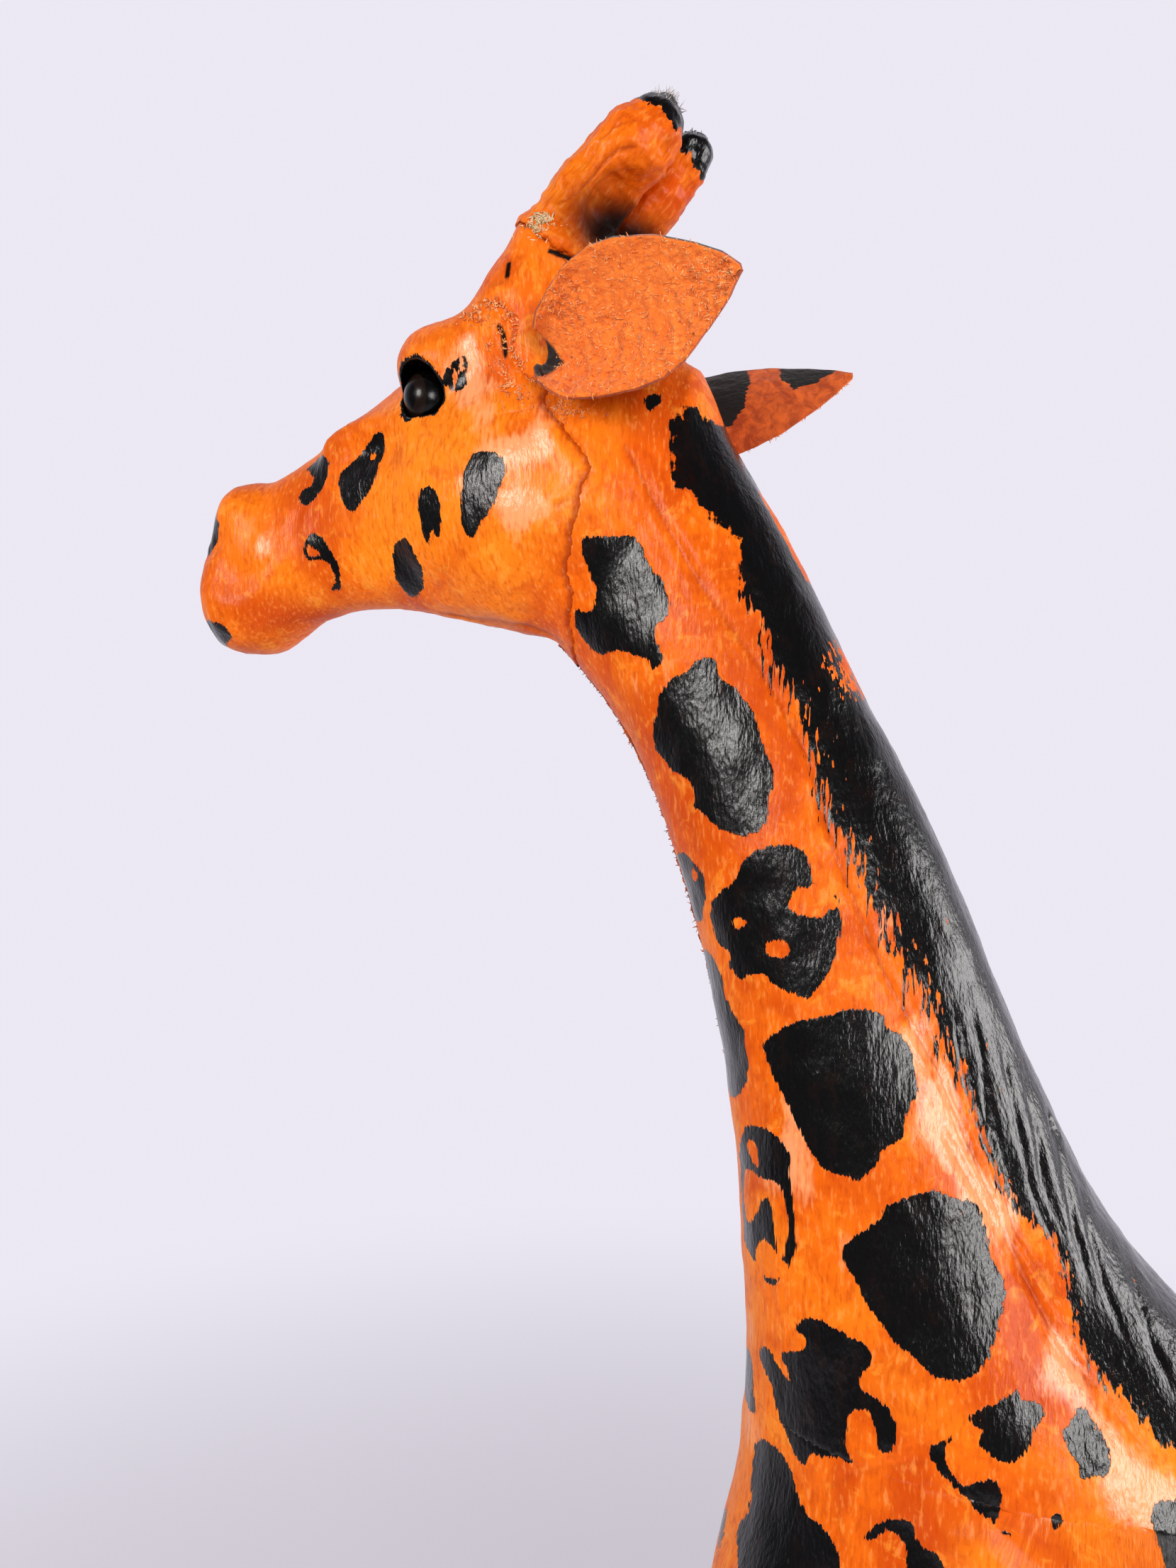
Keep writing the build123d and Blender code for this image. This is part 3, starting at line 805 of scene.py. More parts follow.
class Graph:
    """A material's nodes, added by short calls."""

    def __init__(self, name):
        self.material = bpy.data.materials.new(name)
        self.material.use_nodes = True
        self.tree = self.material.node_tree
        self.shader = self.tree.nodes["Principled BSDF"]

    def put(self, socket, value):
        if isinstance(value, bpy.types.NodeSocket):
            self.tree.links.new(value, socket)
        elif hasattr(value, "__len__") and len(value) == 3 and socket.type == "RGBA":
            socket.default_value = (*value, 1)
        else:
            socket.default_value = value

    def node(self, kind, settings=(), **inputs):
        made = self.tree.nodes.new("ShaderNode" + kind)
        for key, value in dict(settings).items():
            setattr(made, key, value)
        for key, value in inputs.items():
            self.put(made.inputs[key.replace("_", " ")], value)
        return made

    def math(self, operation, a, b=0.0, c=0.0, clamp=False):
        made = self.tree.nodes.new("ShaderNodeMath")
        made.operation, made.use_clamp = operation, clamp
        for socket, value in zip(made.inputs, (a, b, c)):
            self.put(socket, value)
        return made.outputs[0]

    def step(self, value, start, end):
        """0 before start, 1 after end, smooth between."""
        made = self.node("MapRange", {"interpolation_type": "SMOOTHSTEP"}, Value=value)
        made.inputs["From Min"].default_value = start
        made.inputs["From Max"].default_value = end
        return made.outputs["Result"]

    def mix(self, share, a, b):
        made = self.tree.nodes.new("ShaderNodeMix")
        made.data_type = "RGBA"
        for socket, value in zip((made.inputs[0], made.inputs[6], made.inputs[7]), (share, a, b)):
            self.put(socket, value)
        return made.outputs[2]

    def around(self, value, middle, factor):
        """How far value is over middle, times factor."""
        return self.math("MULTIPLY", self.math("SUBTRACT", value, middle), factor)

    def tint(self, base, value, start, end, share, colour):
        """base with that share of colour over it where value is past end."""
        return self.mix(self.math("MULTIPLY", self.step(value, start, end), share), base, colour)

    def place(self):
        """The point on the piece, in millimetres."""
        return self.stretched(self.node("TexCoord").outputs["Object"], (1000, 1000, 1000))

    def stretched(self, vector, scale):
        return self.node("Mapping", {"vector_type": "POINT"}, Vector=vector, Scale=scale).outputs[0]

    def noise(self, vector, scale=1.0, detail=3.0, roughness=0.55, distortion=0.0):
        return self.node("TexNoise", {}, Vector=vector, Scale=scale, Detail=detail, Roughness=roughness,
                         Distortion=distortion).outputs["Fac"]

    def read(self, name, output="Fac"):
        return self.node("Attribute", {"attribute_name": name}).outputs[output]

    def bump(self, layers):
        """Bumps laid over each other, each (height socket, distance in millimetres)."""
        normal = None
        for height, distance in layers:
            made = self.node("Bump", {}, Height=height, Distance=distance * MM, Strength=1.0)
            if normal is not None:
                self.put(made.inputs["Normal"], normal)
            normal = made.outputs[0]
        self.put(self.shader.inputs["Normal"], normal)
        self.put(self.shader.inputs["Coat Normal"], normal)

    def finish(self, **inputs):
        for key, value in inputs.items():
            self.put(self.shader.inputs[key.replace("_", " ")], value)
        return self.material


# The black of the painted shadow in the hollow behind the horn, in the slits and in the ears' roots
SHADOW_BLACK = (0.006, 0.002, 0.001)


def painted_hide():
    """Orange hide with black hand-painted spots; the grain attribute runs along the limb, in millimetres."""
    g = Graph("painted_hide")
    grain = g.read("grain", "Vector")
    place = g.place()
    fine_fibres = g.noise(g.stretched(grain, (0.16, 1.6, 1.6)), 1.0, 2)
    pores = g.noise(g.stretched(grain, (0.55, 1.3, 1.3)), 1.0, 3, 0.6)
    dashes = g.noise(g.stretched(grain, (0.24, 0.85, 0.85)), 1.0, 2, 0.5)
    pebbles = g.node("TexVoronoi", {"feature": "SMOOTH_F1"}, Vector=g.stretched(grain, (0.45, 0.9, 0.9)),
                     Scale=1.0, Smoothness=0.6).outputs["Distance"]
    clouds = g.noise(place, 0.035, 4, 0.6, 0.6)
    patches = g.noise(place, 0.011, 3, 0.55, 0.8)
    freckles = g.noise(place, 0.16, 2, 0.5)

    # the paint's edge: brushed with the grain, and flaked where it is thin
    spot = g.math("ADD", g.read("paint"), g.around(fine_fibres, 0.5, 2.4))
    spot = g.math("ADD", spot, g.around(freckles, 0.5, 2.2))
    # the mane's edge: long vertical strokes low down, blots at its top
    brushed = g.around(g.noise(g.stretched(place, (0.7, 1.0, 0.028)), 1.0, 2), 0.52, 24.0)
    height = g.node("SeparateXYZ", {}, Vector=place).outputs["Z"]
    blotted = g.around(g.noise(place, 0.22, 3, 0.6), 0.5, 8.0)
    blotchy = g.step(height, 690, 722)
    brushed = g.math("ADD", g.math("MULTIPLY", brushed, g.math("MULTIPLY_ADD", blotchy, -0.85, 1.0)),
                     g.math("MULTIPLY", blotted, blotchy))
    brushed = g.math("MULTIPLY", brushed, g.math("MULTIPLY_ADD", g.step(height, 610, 570), -0.6, 1.0))
    mane = g.math("ADD", g.read("mane"), brushed)
    black = g.math("MAXIMUM", g.step(spot, -0.12, 0.12), g.step(mane, -0.4, 0.4))
    flake = g.noise(g.stretched(grain, (0.10, 0.22, 0.22)), 1.0, 5, 0.7)
    worn = g.math("MULTIPLY", g.step(flake, 0.69, 0.72), g.step(g.read("paint"), 3.5, 0.5))
    black = g.math("MULTIPLY", black, g.math("SUBTRACT", 1.0, worn), clamp=True)

    hide = g.mix(g.step(clouds, 0.34, 0.66), (0.62, 0.070, 0.001), (0.91, 0.160, 0.003))
    hide = g.mix(g.step(patches, 0.42, 0.68), hide, (0.98, 0.24, 0.008))
    mottles = g.noise(place, 0.11, 4, 0.65, 0.8)
    pale = g.math("ADD", g.around(dashes, 0.5, 1.4), g.read("pale"))
    for value, start, end, share, tone in (
        (mottles, 0.52, 0.66, 0.45, (0.60, 0.065, 0.002)),
        (mottles, 0.44, 0.33, 0.40, (1.0, 0.36, 0.035)),
        (dashes, 0.55, 0.68, 0.24, (1.0, 0.36, 0.05)),
        (dashes, 0.46, 0.32, 0.40, (0.50, 0.05, 0.002)),
        # painted shade in creases and round the horn's hollow, with the darker seam edges
        (g.read("shade"), 0.0, 1.0, 0.75, (0.30, 0.022, 0.001)),
        # painted sheen and wear, paler
        (pale, 0.05, 1.0, 0.75, (1.0, 0.40, 0.17)),
        # painted shadow, black
        (g.read("painted_shadow"), 0.25, 1.0, 1.0, SHADOW_BLACK),
    ):
        hide = g.tint(hide, value, start, end, share, tone)
    thin = g.step(flake, 0.50, 0.66)
    ink = g.mix(g.math("MULTIPLY", thin, 0.4), (0.0006, 0.0005, 0.0005), (0.012, 0.003, 0.001))
    colour = g.mix(black, hide, ink)
    gloss = g.math("MULTIPLY_ADD", pores, 0.25, 0.35)
    ink_gloss = g.math("MULTIPLY_ADD", pores, 0.24, 0.16)
    roughness = g.node("Mix", {"data_type": "FLOAT"}, Factor=black)
    g.put(roughness.inputs[2], gloss)
    g.put(roughness.inputs[3], ink_gloss)
    g.bump([
        (dashes, 0.14),
        (g.math("MULTIPLY_ADD", pebbles, 0.6, pores), 0.12),
        (fine_fibres, 0.05),
        (black, 0.05),
    ])
    sheen_layer = g.math("MULTIPLY_ADD", g.step(g.read("pale"), 0.0, 0.8), 0.75, 0.20)
    sheen_layer = g.math("MULTIPLY_ADD", g.math("SUBTRACT", 0.9, sheen_layer), black, sheen_layer)
    # no coat where the shadow is painted
    sheen_layer = g.math("MULTIPLY", sheen_layer, g.math("SUBTRACT", 1.0, g.step(g.read("painted_shadow"), 0.1, 0.6)))
    return g.finish(Base_Color=colour, Roughness=roughness.outputs[0], Specular_IOR_Level=0.06,
                    Coat_Weight=sheen_layer, Coat_Roughness=0.2)


def simple_material(name, dark, light, scale, roughness, bump_mm):
    """Two colours mixed by noise, with a bump of the same grain; scale is in features per millimetre."""
    g = Graph(name)
    place = g.place()
    grain = g.noise(place, scale, 5, 0.62, 0.2)
    fine = g.noise(place, scale * 5, 3, 0.6)
    g.bump([(g.math("MULTIPLY_ADD", fine, 0.4, grain), bump_mm)])
    spread = g.math("MULTIPLY_ADD", grain, 0.25, roughness - 0.12)
    return g.finish(Base_Color=g.mix(g.step(grain, 0.3, 0.7), dark, light), Roughness=spread)


def suede():
    """The flesh side of the ears' leather, with painted shadow inside the rolled root; the back is painted
    like the hide.
    """
    g = Graph("ear_suede")
    place = g.place()
    nap = g.noise(g.stretched(place, (1.0, 0.7, 1.0)), 0.9, 4, 0.65, 0.4)
    clumps = g.noise(place, 0.28, 3, 0.6, 0.5)
    grain = g.noise(g.stretched(g.read("grain", "Vector"), (0.06, 1.1, 1.1)), 1.0, 3)
    colour = g.mix(g.step(clumps, 0.30, 0.70), (0.80, 0.15, 0.010), (0.95, 0.21, 0.018))
    colour = g.tint(colour, nap, 0.55, 0.68, 0.5, (1.0, 0.42, 0.11))
    colour = g.tint(colour, nap, 0.44, 0.32, 0.55, (0.50, 0.06, 0.004))
    back = g.mix(g.step(clumps, 0.3, 0.7), (0.36, 0.045, 0.004), (0.70, 0.12, 0.012))
    strokes = g.math("ADD", g.read("strokes"), g.around(grain, 0.5, 3.2))
    back = g.mix(g.step(strokes, -0.15, 0.15), back, (0.004, 0.003, 0.003))
    colour = g.mix(g.step(g.read("back"), 0.4, 0.6), colour, back)
    colour = g.mix(g.step(g.read("painted_shadow"), 0.2, 0.9), colour, SHADOW_BLACK)
    g.bump([(g.math("MULTIPLY_ADD", clumps, 0.8, nap), 0.5), (grain, 0.12)])
    return g.finish(Base_Color=colour, Roughness=g.math("MULTIPLY_ADD", nap, 0.25, 0.55), Sheen_Weight=0.15,
                    Specular_IOR_Level=0.25)


def glass_eye():
    g = Graph("dark_glass")
    iris = g.mix(g.step(g.read("iris"), 0.3, 0.8), (0.0008, 0.0006, 0.0006), (0.010, 0.005, 0.003))
    place = g.place()
    g.bump([(g.noise(place, 0.25, 2), 0.15)])
    return g.finish(Base_Color=iris, Roughness=0.22, Specular_IOR_Level=0.25)


def far_floor():
    """Pale paper that fades into the room's colour far from the statue, so no horizon shows."""
    g = Graph("floor_paper")
    place = g.node("TexCoord").outputs["Object"]
    fine = g.noise(place, 900.0, 3)
    g.bump([(fine, 0.06)])
    g.finish(Base_Color=g.mix(g.noise(place, 3.0, 3), (0.70, 0.675, 0.72), (0.75, 0.725, 0.77)),
             Roughness=0.85, Specular_IOR_Level=0.1)
    glow = g.node("Emission", {}, Color=room_colour(g, place), Strength=1.0)
    away = g.node("VectorMath", {"operation": "LENGTH"})
    g.put(away.inputs[0], place)
    mixed = g.node("MixShader", {})
    g.put(mixed.inputs[0], g.step(away.outputs["Value"], 0.3, 1.5))
    g.tree.links.new(g.shader.outputs[0], mixed.inputs[1])
    g.tree.links.new(glow.outputs[0], mixed.inputs[2])
    g.tree.links.new(mixed.outputs[0], g.tree.nodes["Material Output"].inputs["Surface"])
    return g.material


def room_colour(g, direction):
    """The pale room: brightest behind the statue's right side, dimmer towards the windows' side."""
    flat = g.node("VectorMath", {"operation": "MULTIPLY"})
    g.put(flat.inputs[0], direction)
    g.put(flat.inputs[1], (1, 1, 0))
    unit = g.node("VectorMath", {"operation": "NORMALIZE"})
    g.put(unit.inputs[0], flat.outputs[0])
    facing = g.node("VectorMath", {"operation": "DOT_PRODUCT"})
    g.put(facing.inputs[0], unit.outputs[0])
    g.put(facing.inputs[1], (-math.cos(CAMERA_TURN), -math.sin(CAMERA_TURN), 0))
    return g.mix(g.step(facing.outputs["Value"], -0.1, 0.75), (0.12, 0.115, 0.13), (0.84, 0.81, 0.90))


CAMERA_TURN = math.radians(23)  # from square to the giraffe's left side, towards its rear
HIDE, SUEDE, GLASS = painted_hide(), suede(), glass_eye()
FLOOR_PAPER = far_floor()
HOOF_PAINT = simple_material("black_hoof_paint", (0.004, 0.004, 0.004), (0.016, 0.013, 0.012),
                             0.25, 0.30, 0.25)
BLACK_HAIR = simple_material("black_hair", (0.004, 0.003, 0.003), (0.02, 0.014, 0.012), 0.6, 0.45, 0.05)
CREAM_FIBRE = simple_material("cream_fibre", (0.55, 0.33, 0.13), (0.90, 0.74, 0.50), 0.7, 0.75, 0.05)
GREY_FIBRE = simple_material("grey_fibre", (0.22, 0.17, 0.15), (0.72, 0.68, 0.66), 0.7, 0.7, 0.05)
RED_FRAY = simple_material("torn_hide", (0.16, 0.018, 0.003), (0.62, 0.12, 0.012), 0.5, 0.65, 0.1)

# ---------------------------------------------------------------- relief of the hide

# Grid spacing of each mesh, in millimetres; the neck's and the body's keep them under 200,000 faces
SPACING = {"face": 0.8, "horn": 0.7, "neck": 1.09, "body": 1.85,
           "eye": 0.55, "lap": 0.75, "hoof": 0.9, "tail": 0.7}
HIDE_SEED = 3  # one for face, neck and body, so that the relief runs on across their seams
HEAD_SHIFT, NECK_SHIFT = 2.0, 15.0  # how far the right side's spots sit below the left's
FOLDS = [  # creases of the hide, alike on both sides: line, height (negative in a groove), half width
    ([
        (-67, 754), (-58, 736), (-49, 720), (-39, 704.7), (-30, 692), (-22, 678), (-16, 666), (-9, 643),
        (5, 610), (16, 591), (20, 582), (28, 564), (38, 542), (44.5, 529.6), (51, 522),
    ], -0.8, 1.0),
    ([(-64, 756), (-55, 738), (-45, 720), (-36, 706)], 0.55, 2.6),
    ([(10.6, 612), (12.7, 601), (20, 581), (26.5, 567), (32.7, 553.7)], -0.45, 0.8),
    ([(14.5, 599.4), (17.5, 586.6), (26.5, 567.2), (34, 551), (45, 534)], 0.5, 1.3),
    ([(16.6, 577.6), (31, 553.7), (39.7, 539), (49.5, 525.5), (62, 510)], -0.5, 0.9),
    ([(20.4, 604.6), (22, 593.8), (24.5, 581), (31, 566)], -0.6, 0.7),
    ([(23.8, 605), (26.7, 593.4), (28.7, 574), (34.4, 553.7), (44, 538)], -0.6, 0.8),
    ([(31, 596), (34, 580), (38, 562), (46, 545)], -0.5, 0.7),
    ([(36.3, 584.5), (39.3, 572.5), (40.8, 562.6), (45, 552)], -0.8, 0.8),
    ([(41.6, 581), (44.5, 566), (48, 552), (51.3, 539.8)], -0.8, 0.8),
    ([(49, 560), (51.5, 549.5), (54.7, 539), (60, 528)], -0.6, 0.7),
    ([(60, 541), (61.7, 536), (64, 529.6), (69, 520)], -0.7, 0.8),
    ([(-7, 486.7), (-3, 491), (6, 496.5), (16.5, 500.6)], -0.45, 1.1),
    ([(16.5, 500.6), (25, 493.5), (36.4, 487), (50, 476)], -1.6, 4.0),
    ([(22, 490), (34, 480), (48, 468)], 2.2, 7.0),
    ([(-113, 762), (-103.6, 766), (-90.6, 766.6)], -0.35, 0.7),
    ([(-105, 792.7), (-103.6, 789.7), (-103, 783)], -1.6, 0.9),
    ([(-107, 796), (-106.5, 790), (-105.5, 784)], 0.8, 1.3),
    ([(-102, 811), (-102, 805)], -1.0, 0.7),
    ([(-112, 807), (-102, 804.5)], -0.4, 0.6),
    ([(-90, 768), (-85, 761), (-78.7, 754.3), (-76, 746.7), (-79.5, 740.6), (-85.8, 738.5)], -0.7, 0.8),
    ([(-93, 765), (-88, 758), (-83, 750), (-84, 743)], 0.7, 4.0),
    ([(-108.6, 805), (-102, 804), (-101.8, 808)], -0.6, 0.6),
    ([(-79, 742), (-82, 741), (-86, 738.7)], -0.5, 0.6),
    ([(-138, 714.5), (-123, 711.5), (-103, 707.5), (-92, 702)], -0.7, 0.7),
    ([(-138, 718), (-123, 715), (-103, 711)], 0.5, 2.0),
    ([(-232, 742), (-224, 738.5), (-214, 741)], -0.7, 2.2),
    ([(-205, 727), (-196, 733), (-188, 741), (-184, 752)], -0.35, 2.5),
    ([(-75.5, 759), (-67, 745), (-58.5, 728), (-48, 707)], -0.22, 0.7),
    ([(-72.7, 762), (-63.4, 747), (-54, 728), (-43, 706)], -0.25, 0.7),
    ([(-78, 757), (-70, 743), (-62, 727), (-52, 708)], -0.2, 0.7),
    ([(-69, 765), (-60, 750), (-51, 731)], -0.22, 0.7),
    ([(-114, 799), (-107, 796), (-102.6, 791.5), (-104, 785.5), (-101, 779), (-94, 772), (-88, 767.6)],
     0.9, 1.5),
    ([(-112, 801), (-105, 799), (-100, 793), (-101.5, 785), (-98, 778), (-92, 774)], -0.7, 0.8),
]
SLITS = [  # cuts at the brow and under the horn, filled with painted shadow
    [(-104.8, 792), (-103.6, 789.7), (-103.2, 784)],
    [(-102, 810), (-102, 806)],
    [(-90, 812.5), (-84, 810.5)],
]
EAR_MOUTH = (-88.5, 777.5)  # y and z of the painted shadow in the hole under the rolled root
HOLLOW_SHADOW_CENTRE, HOLLOW_SHADOW_REACH = (-1.0, -76.0, 822.0), (26, 10.5, 8.5)  # the painted shadow in the hollow behind the left horn
HORN_CRACKS = [
    ([(-88, 826), (-82, 828.4), (-77.7, 833), (-74.7, 836.3), (-70.8, 838.8), (-65.6, 839.4)], -1.0, 0.8),
    ([(-90, 829), (-86, 836), (-82, 840.7), (-73, 842.5), (-67, 841.9)], 0.8, 1.6),
    ([(-84, 834), (-79, 838), (-72, 845), (-66, 846)], -0.6, 0.9),
    ([(-87, 821.5), (-84, 817.3), (-81.7, 815)], -0.9, 0.7),
    ([(-96, 822), (-91, 819), (-89, 815)], 0.6, 1.6),
]


def glow(y, z, at, spread):
    """1 at a place, fading to 0 round it."""
    return np.exp(-((y - at[0]) ** 2 + (z - at[1]) ** 2) / spread)


def seam_y(z):
    """y of the ragged edge of the face hide at a height z."""
    ragged = 0.22 * np.sin(z * 1.9) + 0.12 * np.sin(z * 4.3 + 1) + 0.55 * np.sin(z * 0.53)
    return np.interp(z, HEAD_SEAM[:, 0], HEAD_SEAM[:, 1]) + ragged


def relief(points, grain, seed, folds=FOLDS):
    """How far each point of the hide stands out or in: the carver's uneven surface, folds and wrinkles."""
    height = 0.55 * rough(points, 30, 3, seed) + 0.13 * rough(grain, (12, 3.2, 3.2), 3, seed + 5)
    wander = (1 + 0.5 * noise(points, 7, seed + 31)) * (np.abs(points[:, 0]) > 4)
    for line, depth, width in folds:
        fades = 1 - 0.85 * sum(glow(points[:, 1], points[:, 2], end, 18) for end in (line[0], line[-1]))
        height += depth * wander * fades * near_line(line, points, width)
    return height


def fold_shade(points, folds=FOLDS):
    """0 to 1 for the painted shade in the narrow grooves of folds and seams."""
    shade = np.zeros(len(points))
    for line, depth, width in folds:
        if depth < 0 and width < 2:
            strength = 0.8 * min(1.0, -depth) * (np.abs(points[:, 0]) > 4)
            shade = np.maximum(shade, strength * near_line(line, points, 0.7))
    return shade


def tube_grain(tube, points, upright=False):
    """Lengths along a tube, across it and sideways; upright grain runs across it instead."""
    _, _, _, s, run, beyond = tube.section(points[:, 1], points[:, 2])
    run = run + np.maximum(beyond, 0)
    return np.stack([s, run, points[:, 0]] if upright else [run, s, points[:, 0]], 1)


def hide_mesh(field, low, high, step):
    """Points and quads of a piece of hide, with the outward direction at each point."""
    points, quads = surface_net(field, low, high, step * (1.0))
    points = settle(field, points)
    return points, quads, unit(gradient(field, points))


def finish_hide(name, points, quads, grain, paint, mane, shade, pale, replaced):
    piece = make_piece(name, points, quads, HIDE, "leather_skin", *replaced)
    # Painted shadow, black, in the hollow behind the left horn, the hole under the ear's root and the slits,
    # with painted shade fading round the hollow
    away = (((points - HOLLOW_SHADOW_CENTRE) / HOLLOW_SHADOW_REACH) ** 2).sum(1)
    painted_shadow = 0.25 + 0.8 * (1 - (1 - np.exp(-away)) ** 2.2)
    shade = np.maximum(shade, np.exp(-away / 2.6))
    mouth = np.hypot(points[:, 1] - EAR_MOUTH[0], points[:, 2] - EAR_MOUTH[1])
    painted_shadow = np.maximum(painted_shadow, 1.3 * np.exp(-((mouth / 2.6) ** 4)) * (np.abs(points[:, 0]) > 18))
    # painted shadow inside the slits
    for line in SLITS:
        painted_shadow = np.maximum(painted_shadow, 1.3 * near_line(line, points, 0.85) * (np.abs(points[:, 0]) > 12))
    for key, values in (("grain", grain), ("paint", paint), ("mane", mane), ("shade", shade), ("pale", pale),
                        ("painted_shadow", painted_shadow)):
        store(piece, key, values)


def sheen_and_wear_back(points):
    """Where the hide is painted paler, as sheen and wear, along the mane's lower edge and behind the
    shoulder.
    """
    lower_edge = [(12, 596), (18, 576), (30, 552), (41, 530), (52, 512), (84, 490)]
    under_mane = near_line(lower_edge, points, 7.0, 30.0)
    return 0.9 * under_mane + 0.7 * glow(points[:, 1], points[:, 2], (44, 500), 200)


def face_edge(points):
    """0 to 1 towards the face hide's cut edge."""
    return ramp(seam_y(points[:, 2]) - points[:, 1], 3.0, 0.2)


LAP = 0.5  # how far the face hide stands over the neck hide at their seam


def lapped_face(x, y, z):
    lap = LAP * ramp(seam_y(z) - y, 9.0, 1.5)
    body = upper_field(x, y, z) - lap
    return np.maximum(np.maximum(body, y - seam_y(z)), z - horn_seam(y))


def horn_seam(y):
    """Height of the torn edge where the horns' wraps begin."""
    ragged = 0.5 * np.sin(y * 1.3) + 0.35 * np.sin(y * 3.1) + 0.2 * np.sin(y * 7.7)
    return np.interp(y, HORN_SEAM[:, 0], HORN_SEAM[:, 1]) + ragged


# painted sheen and wear on cheek, brow and muzzle: place, spread, strength
FACE_SHEEN_AND_WEAR = [((-100, 748), 520, 1.6), ((-112, 784), 160, 1.5), ((-200, 736), 200, 0.9)]


def make_face():
    points, quads, out = hide_mesh(lapped_face, (-35, -246, 696), (35, -48, 832), SPACING["face"])
    grain = tube_grain(HEAD, points, upright=True)
    ax = np.abs(points[:, 0])
    x, y, z = points.T
    paint = painted_depth(points, HEAD_SPOTS, HEAD_SHIFT)
    rim = 0.9 + 0.6 * noise(points, 2.5, 8) + 0.6 * ramp(EYE[1] - y, 0, 6) - eye_opening(ax, y, z)
    paint = np.maximum(paint, np.where(ax > EYE[0] - 6, rim, -12))
    nostril = -ellipsoid(ax, y, z, (11.5, -226, 747), (10, 11.5, 9.5))
    lips = -ellipsoid(ax, y, z, (13, -225, 711.5), (10, 11, 4.2))
    paint = np.maximum(paint, np.maximum(nostril, lips) + 0.6 * noise(points, 2.5, 9))
    # painted shade in the creases, with the darker cut edges of the seams
    shade = np.maximum(fold_shade(points), face_edge(points) * 0.9)
    shade = np.maximum(shade, np.exp(-(((horn_seam(y) - z) / 0.8) ** 2)))
    sheen_and_wear = sum(strength * glow(y, z, at, spread) for at, spread, strength in FACE_SHEEN_AND_WEAR)
    pale = ramp(0.8 * noise(points, 9, 12) + sheen_and_wear, 0.9, 1.8)
    points = points + out * relief(points, grain, HIDE_SEED)[:, None]
    finish_hide("face_hide", points, quads, grain, paint, np.full(len(x), -30.0), shade, pale,
                ["face_skin", "crown_skin", "head_core", "eyelid_left", "eyelid_right"])


def make_horn(side, sign):
    def field(x, y, z):
        body = upper_field(x, y, z) - 0.5 * ramp(z - horn_seam(y), 6.0, 1.0)
        return np.maximum(np.maximum(body, horn_seam(y) - z), 0.15 - sign * x)

    low, high = (min(0, sign * 30), -135, 806), (max(0, sign * 30), -44, 870)
    points, quads, out = hide_mesh(field, low, high, SPACING["horn"])
    along = (points[:, 1] + 100) * 0.62 + (points[:, 2] - 815) * 0.78
    grain = np.stack([along, (points[:, 2] - 815) * 0.62 - (points[:, 1] + 100) * 0.78, points[:, 0]], 1)
    tip = along - 52 + 3.0 * noise(points, 9, 41) + 2.0 * noise(grain, (5, 1.4, 1.4), 42)
    wrinkles = 0.6 * rough(grain, (4.5, 15, 15), 3, 43) + 0.6 * rough(points, 9, 3, 44)
    cracks = HORN_CRACKS if sign > 0 else HORN_CRACKS[1:3]
    wrinkles += relief(points, grain, 47, cracks)
    # painted shade in the cracks' grooves
    crack_shade = fold_shade(points, cracks)
    points = points + out * wrinkles[:, None]
    pale = 0.7 * ramp(noise(points, 9, 45), 0.5, 1.4)
    torn = np.exp(-(((points[:, 2] - horn_seam(points[:, 1])) / 0.9) ** 2)) * 0.8
    shade = np.maximum(ramp(noise(points, 8, 46), 0.35, 0.9) * 0.45, np.maximum(crack_shade, torn))
    finish_hide(f"horn_hide_{side}", points, quads, grain, tip * 0.8, np.full(len(tip), -30.0), shade, pale,
                [f"horn_wrap_{side}", f"horn_peg_{side}"])


def make_neck():
    def field(x, y, z):
        hidden = seam_y(z) - 7 - y
        return np.maximum(np.maximum(upper_field(x, y, z), hidden), np.maximum(494 - z, z - 812))

    points, quads, out = hide_mesh(field, (-60, -98, 490), (60, 112, 815), SPACING["neck"])
    grain = points[:, ::-1]
    paint = painted_depth(points, {**HEAD_SPOTS, **NECK_SPOTS}, NECK_SHIFT)
    shade = fold_shade(points)
    pale = ramp(noise(points, 16, 14) + 0.4 * noise(grain, (30, 5, 5), 15) + sheen_and_wear_back(points), 0.55, 1.3)
    points = points + out * relief(points, grain, HIDE_SEED)[:, None]
    finish_hide("neck_hide", points, quads, grain, paint, mane_depth(points), shade, pale,
                ["neck_skin", "neck_core"])


def make_body():
    floor_cut = HOOF_TOP - 1.5

    def field(x, y, z):
        return np.maximum(lower_field(x, y, z), np.maximum(z - 496, floor_cut - z))

    points, quads, out = hide_mesh(field, (-66, -72, 24), (66, 240, 500), SPACING["body"])
    grain = tube_grain(TORSO, points)
    on_leg = np.maximum(ramp(points[:, 2], 350, 300), ramp(points[:, 1], 90, 30))[:, None]
    leg_grain = np.stack([points[:, 2], points[:, 1], points[:, 0]], 1)
    grain = grain * (1 - on_leg) + leg_grain * on_leg
    left, right = (list(NECK_SPOTS.values()) + body_spots(seed) for seed in (5, 11))
    paint = chipped(points, bare_front(points, two_sided(points, left, right, NECK_SHIFT)), NECK_SHIFT)
    paint = np.maximum(paint, HOOF_TOP + 2.5 - points[:, 2])
    shade = fold_shade(points)
    pale = ramp(noise(points, 18, 14) + sheen_and_wear_back(points), 0.5, 1.3)
    points = points + out * relief(points, grain, HIDE_SEED)[:, None]
    legs = [f"leg_{part}_{end}_{side}"
            for part in ("skin", "core") for end in ("front", "rear") for side, _ in SIDES]
    finish_hide("body_hide", points, quads, grain, paint, mane_depth(points), shade, pale,
                ["torso_skin", "torso_core", *legs])


def ear_shape(u, table):
    return np.interp(u, *np.array(table, float).T)


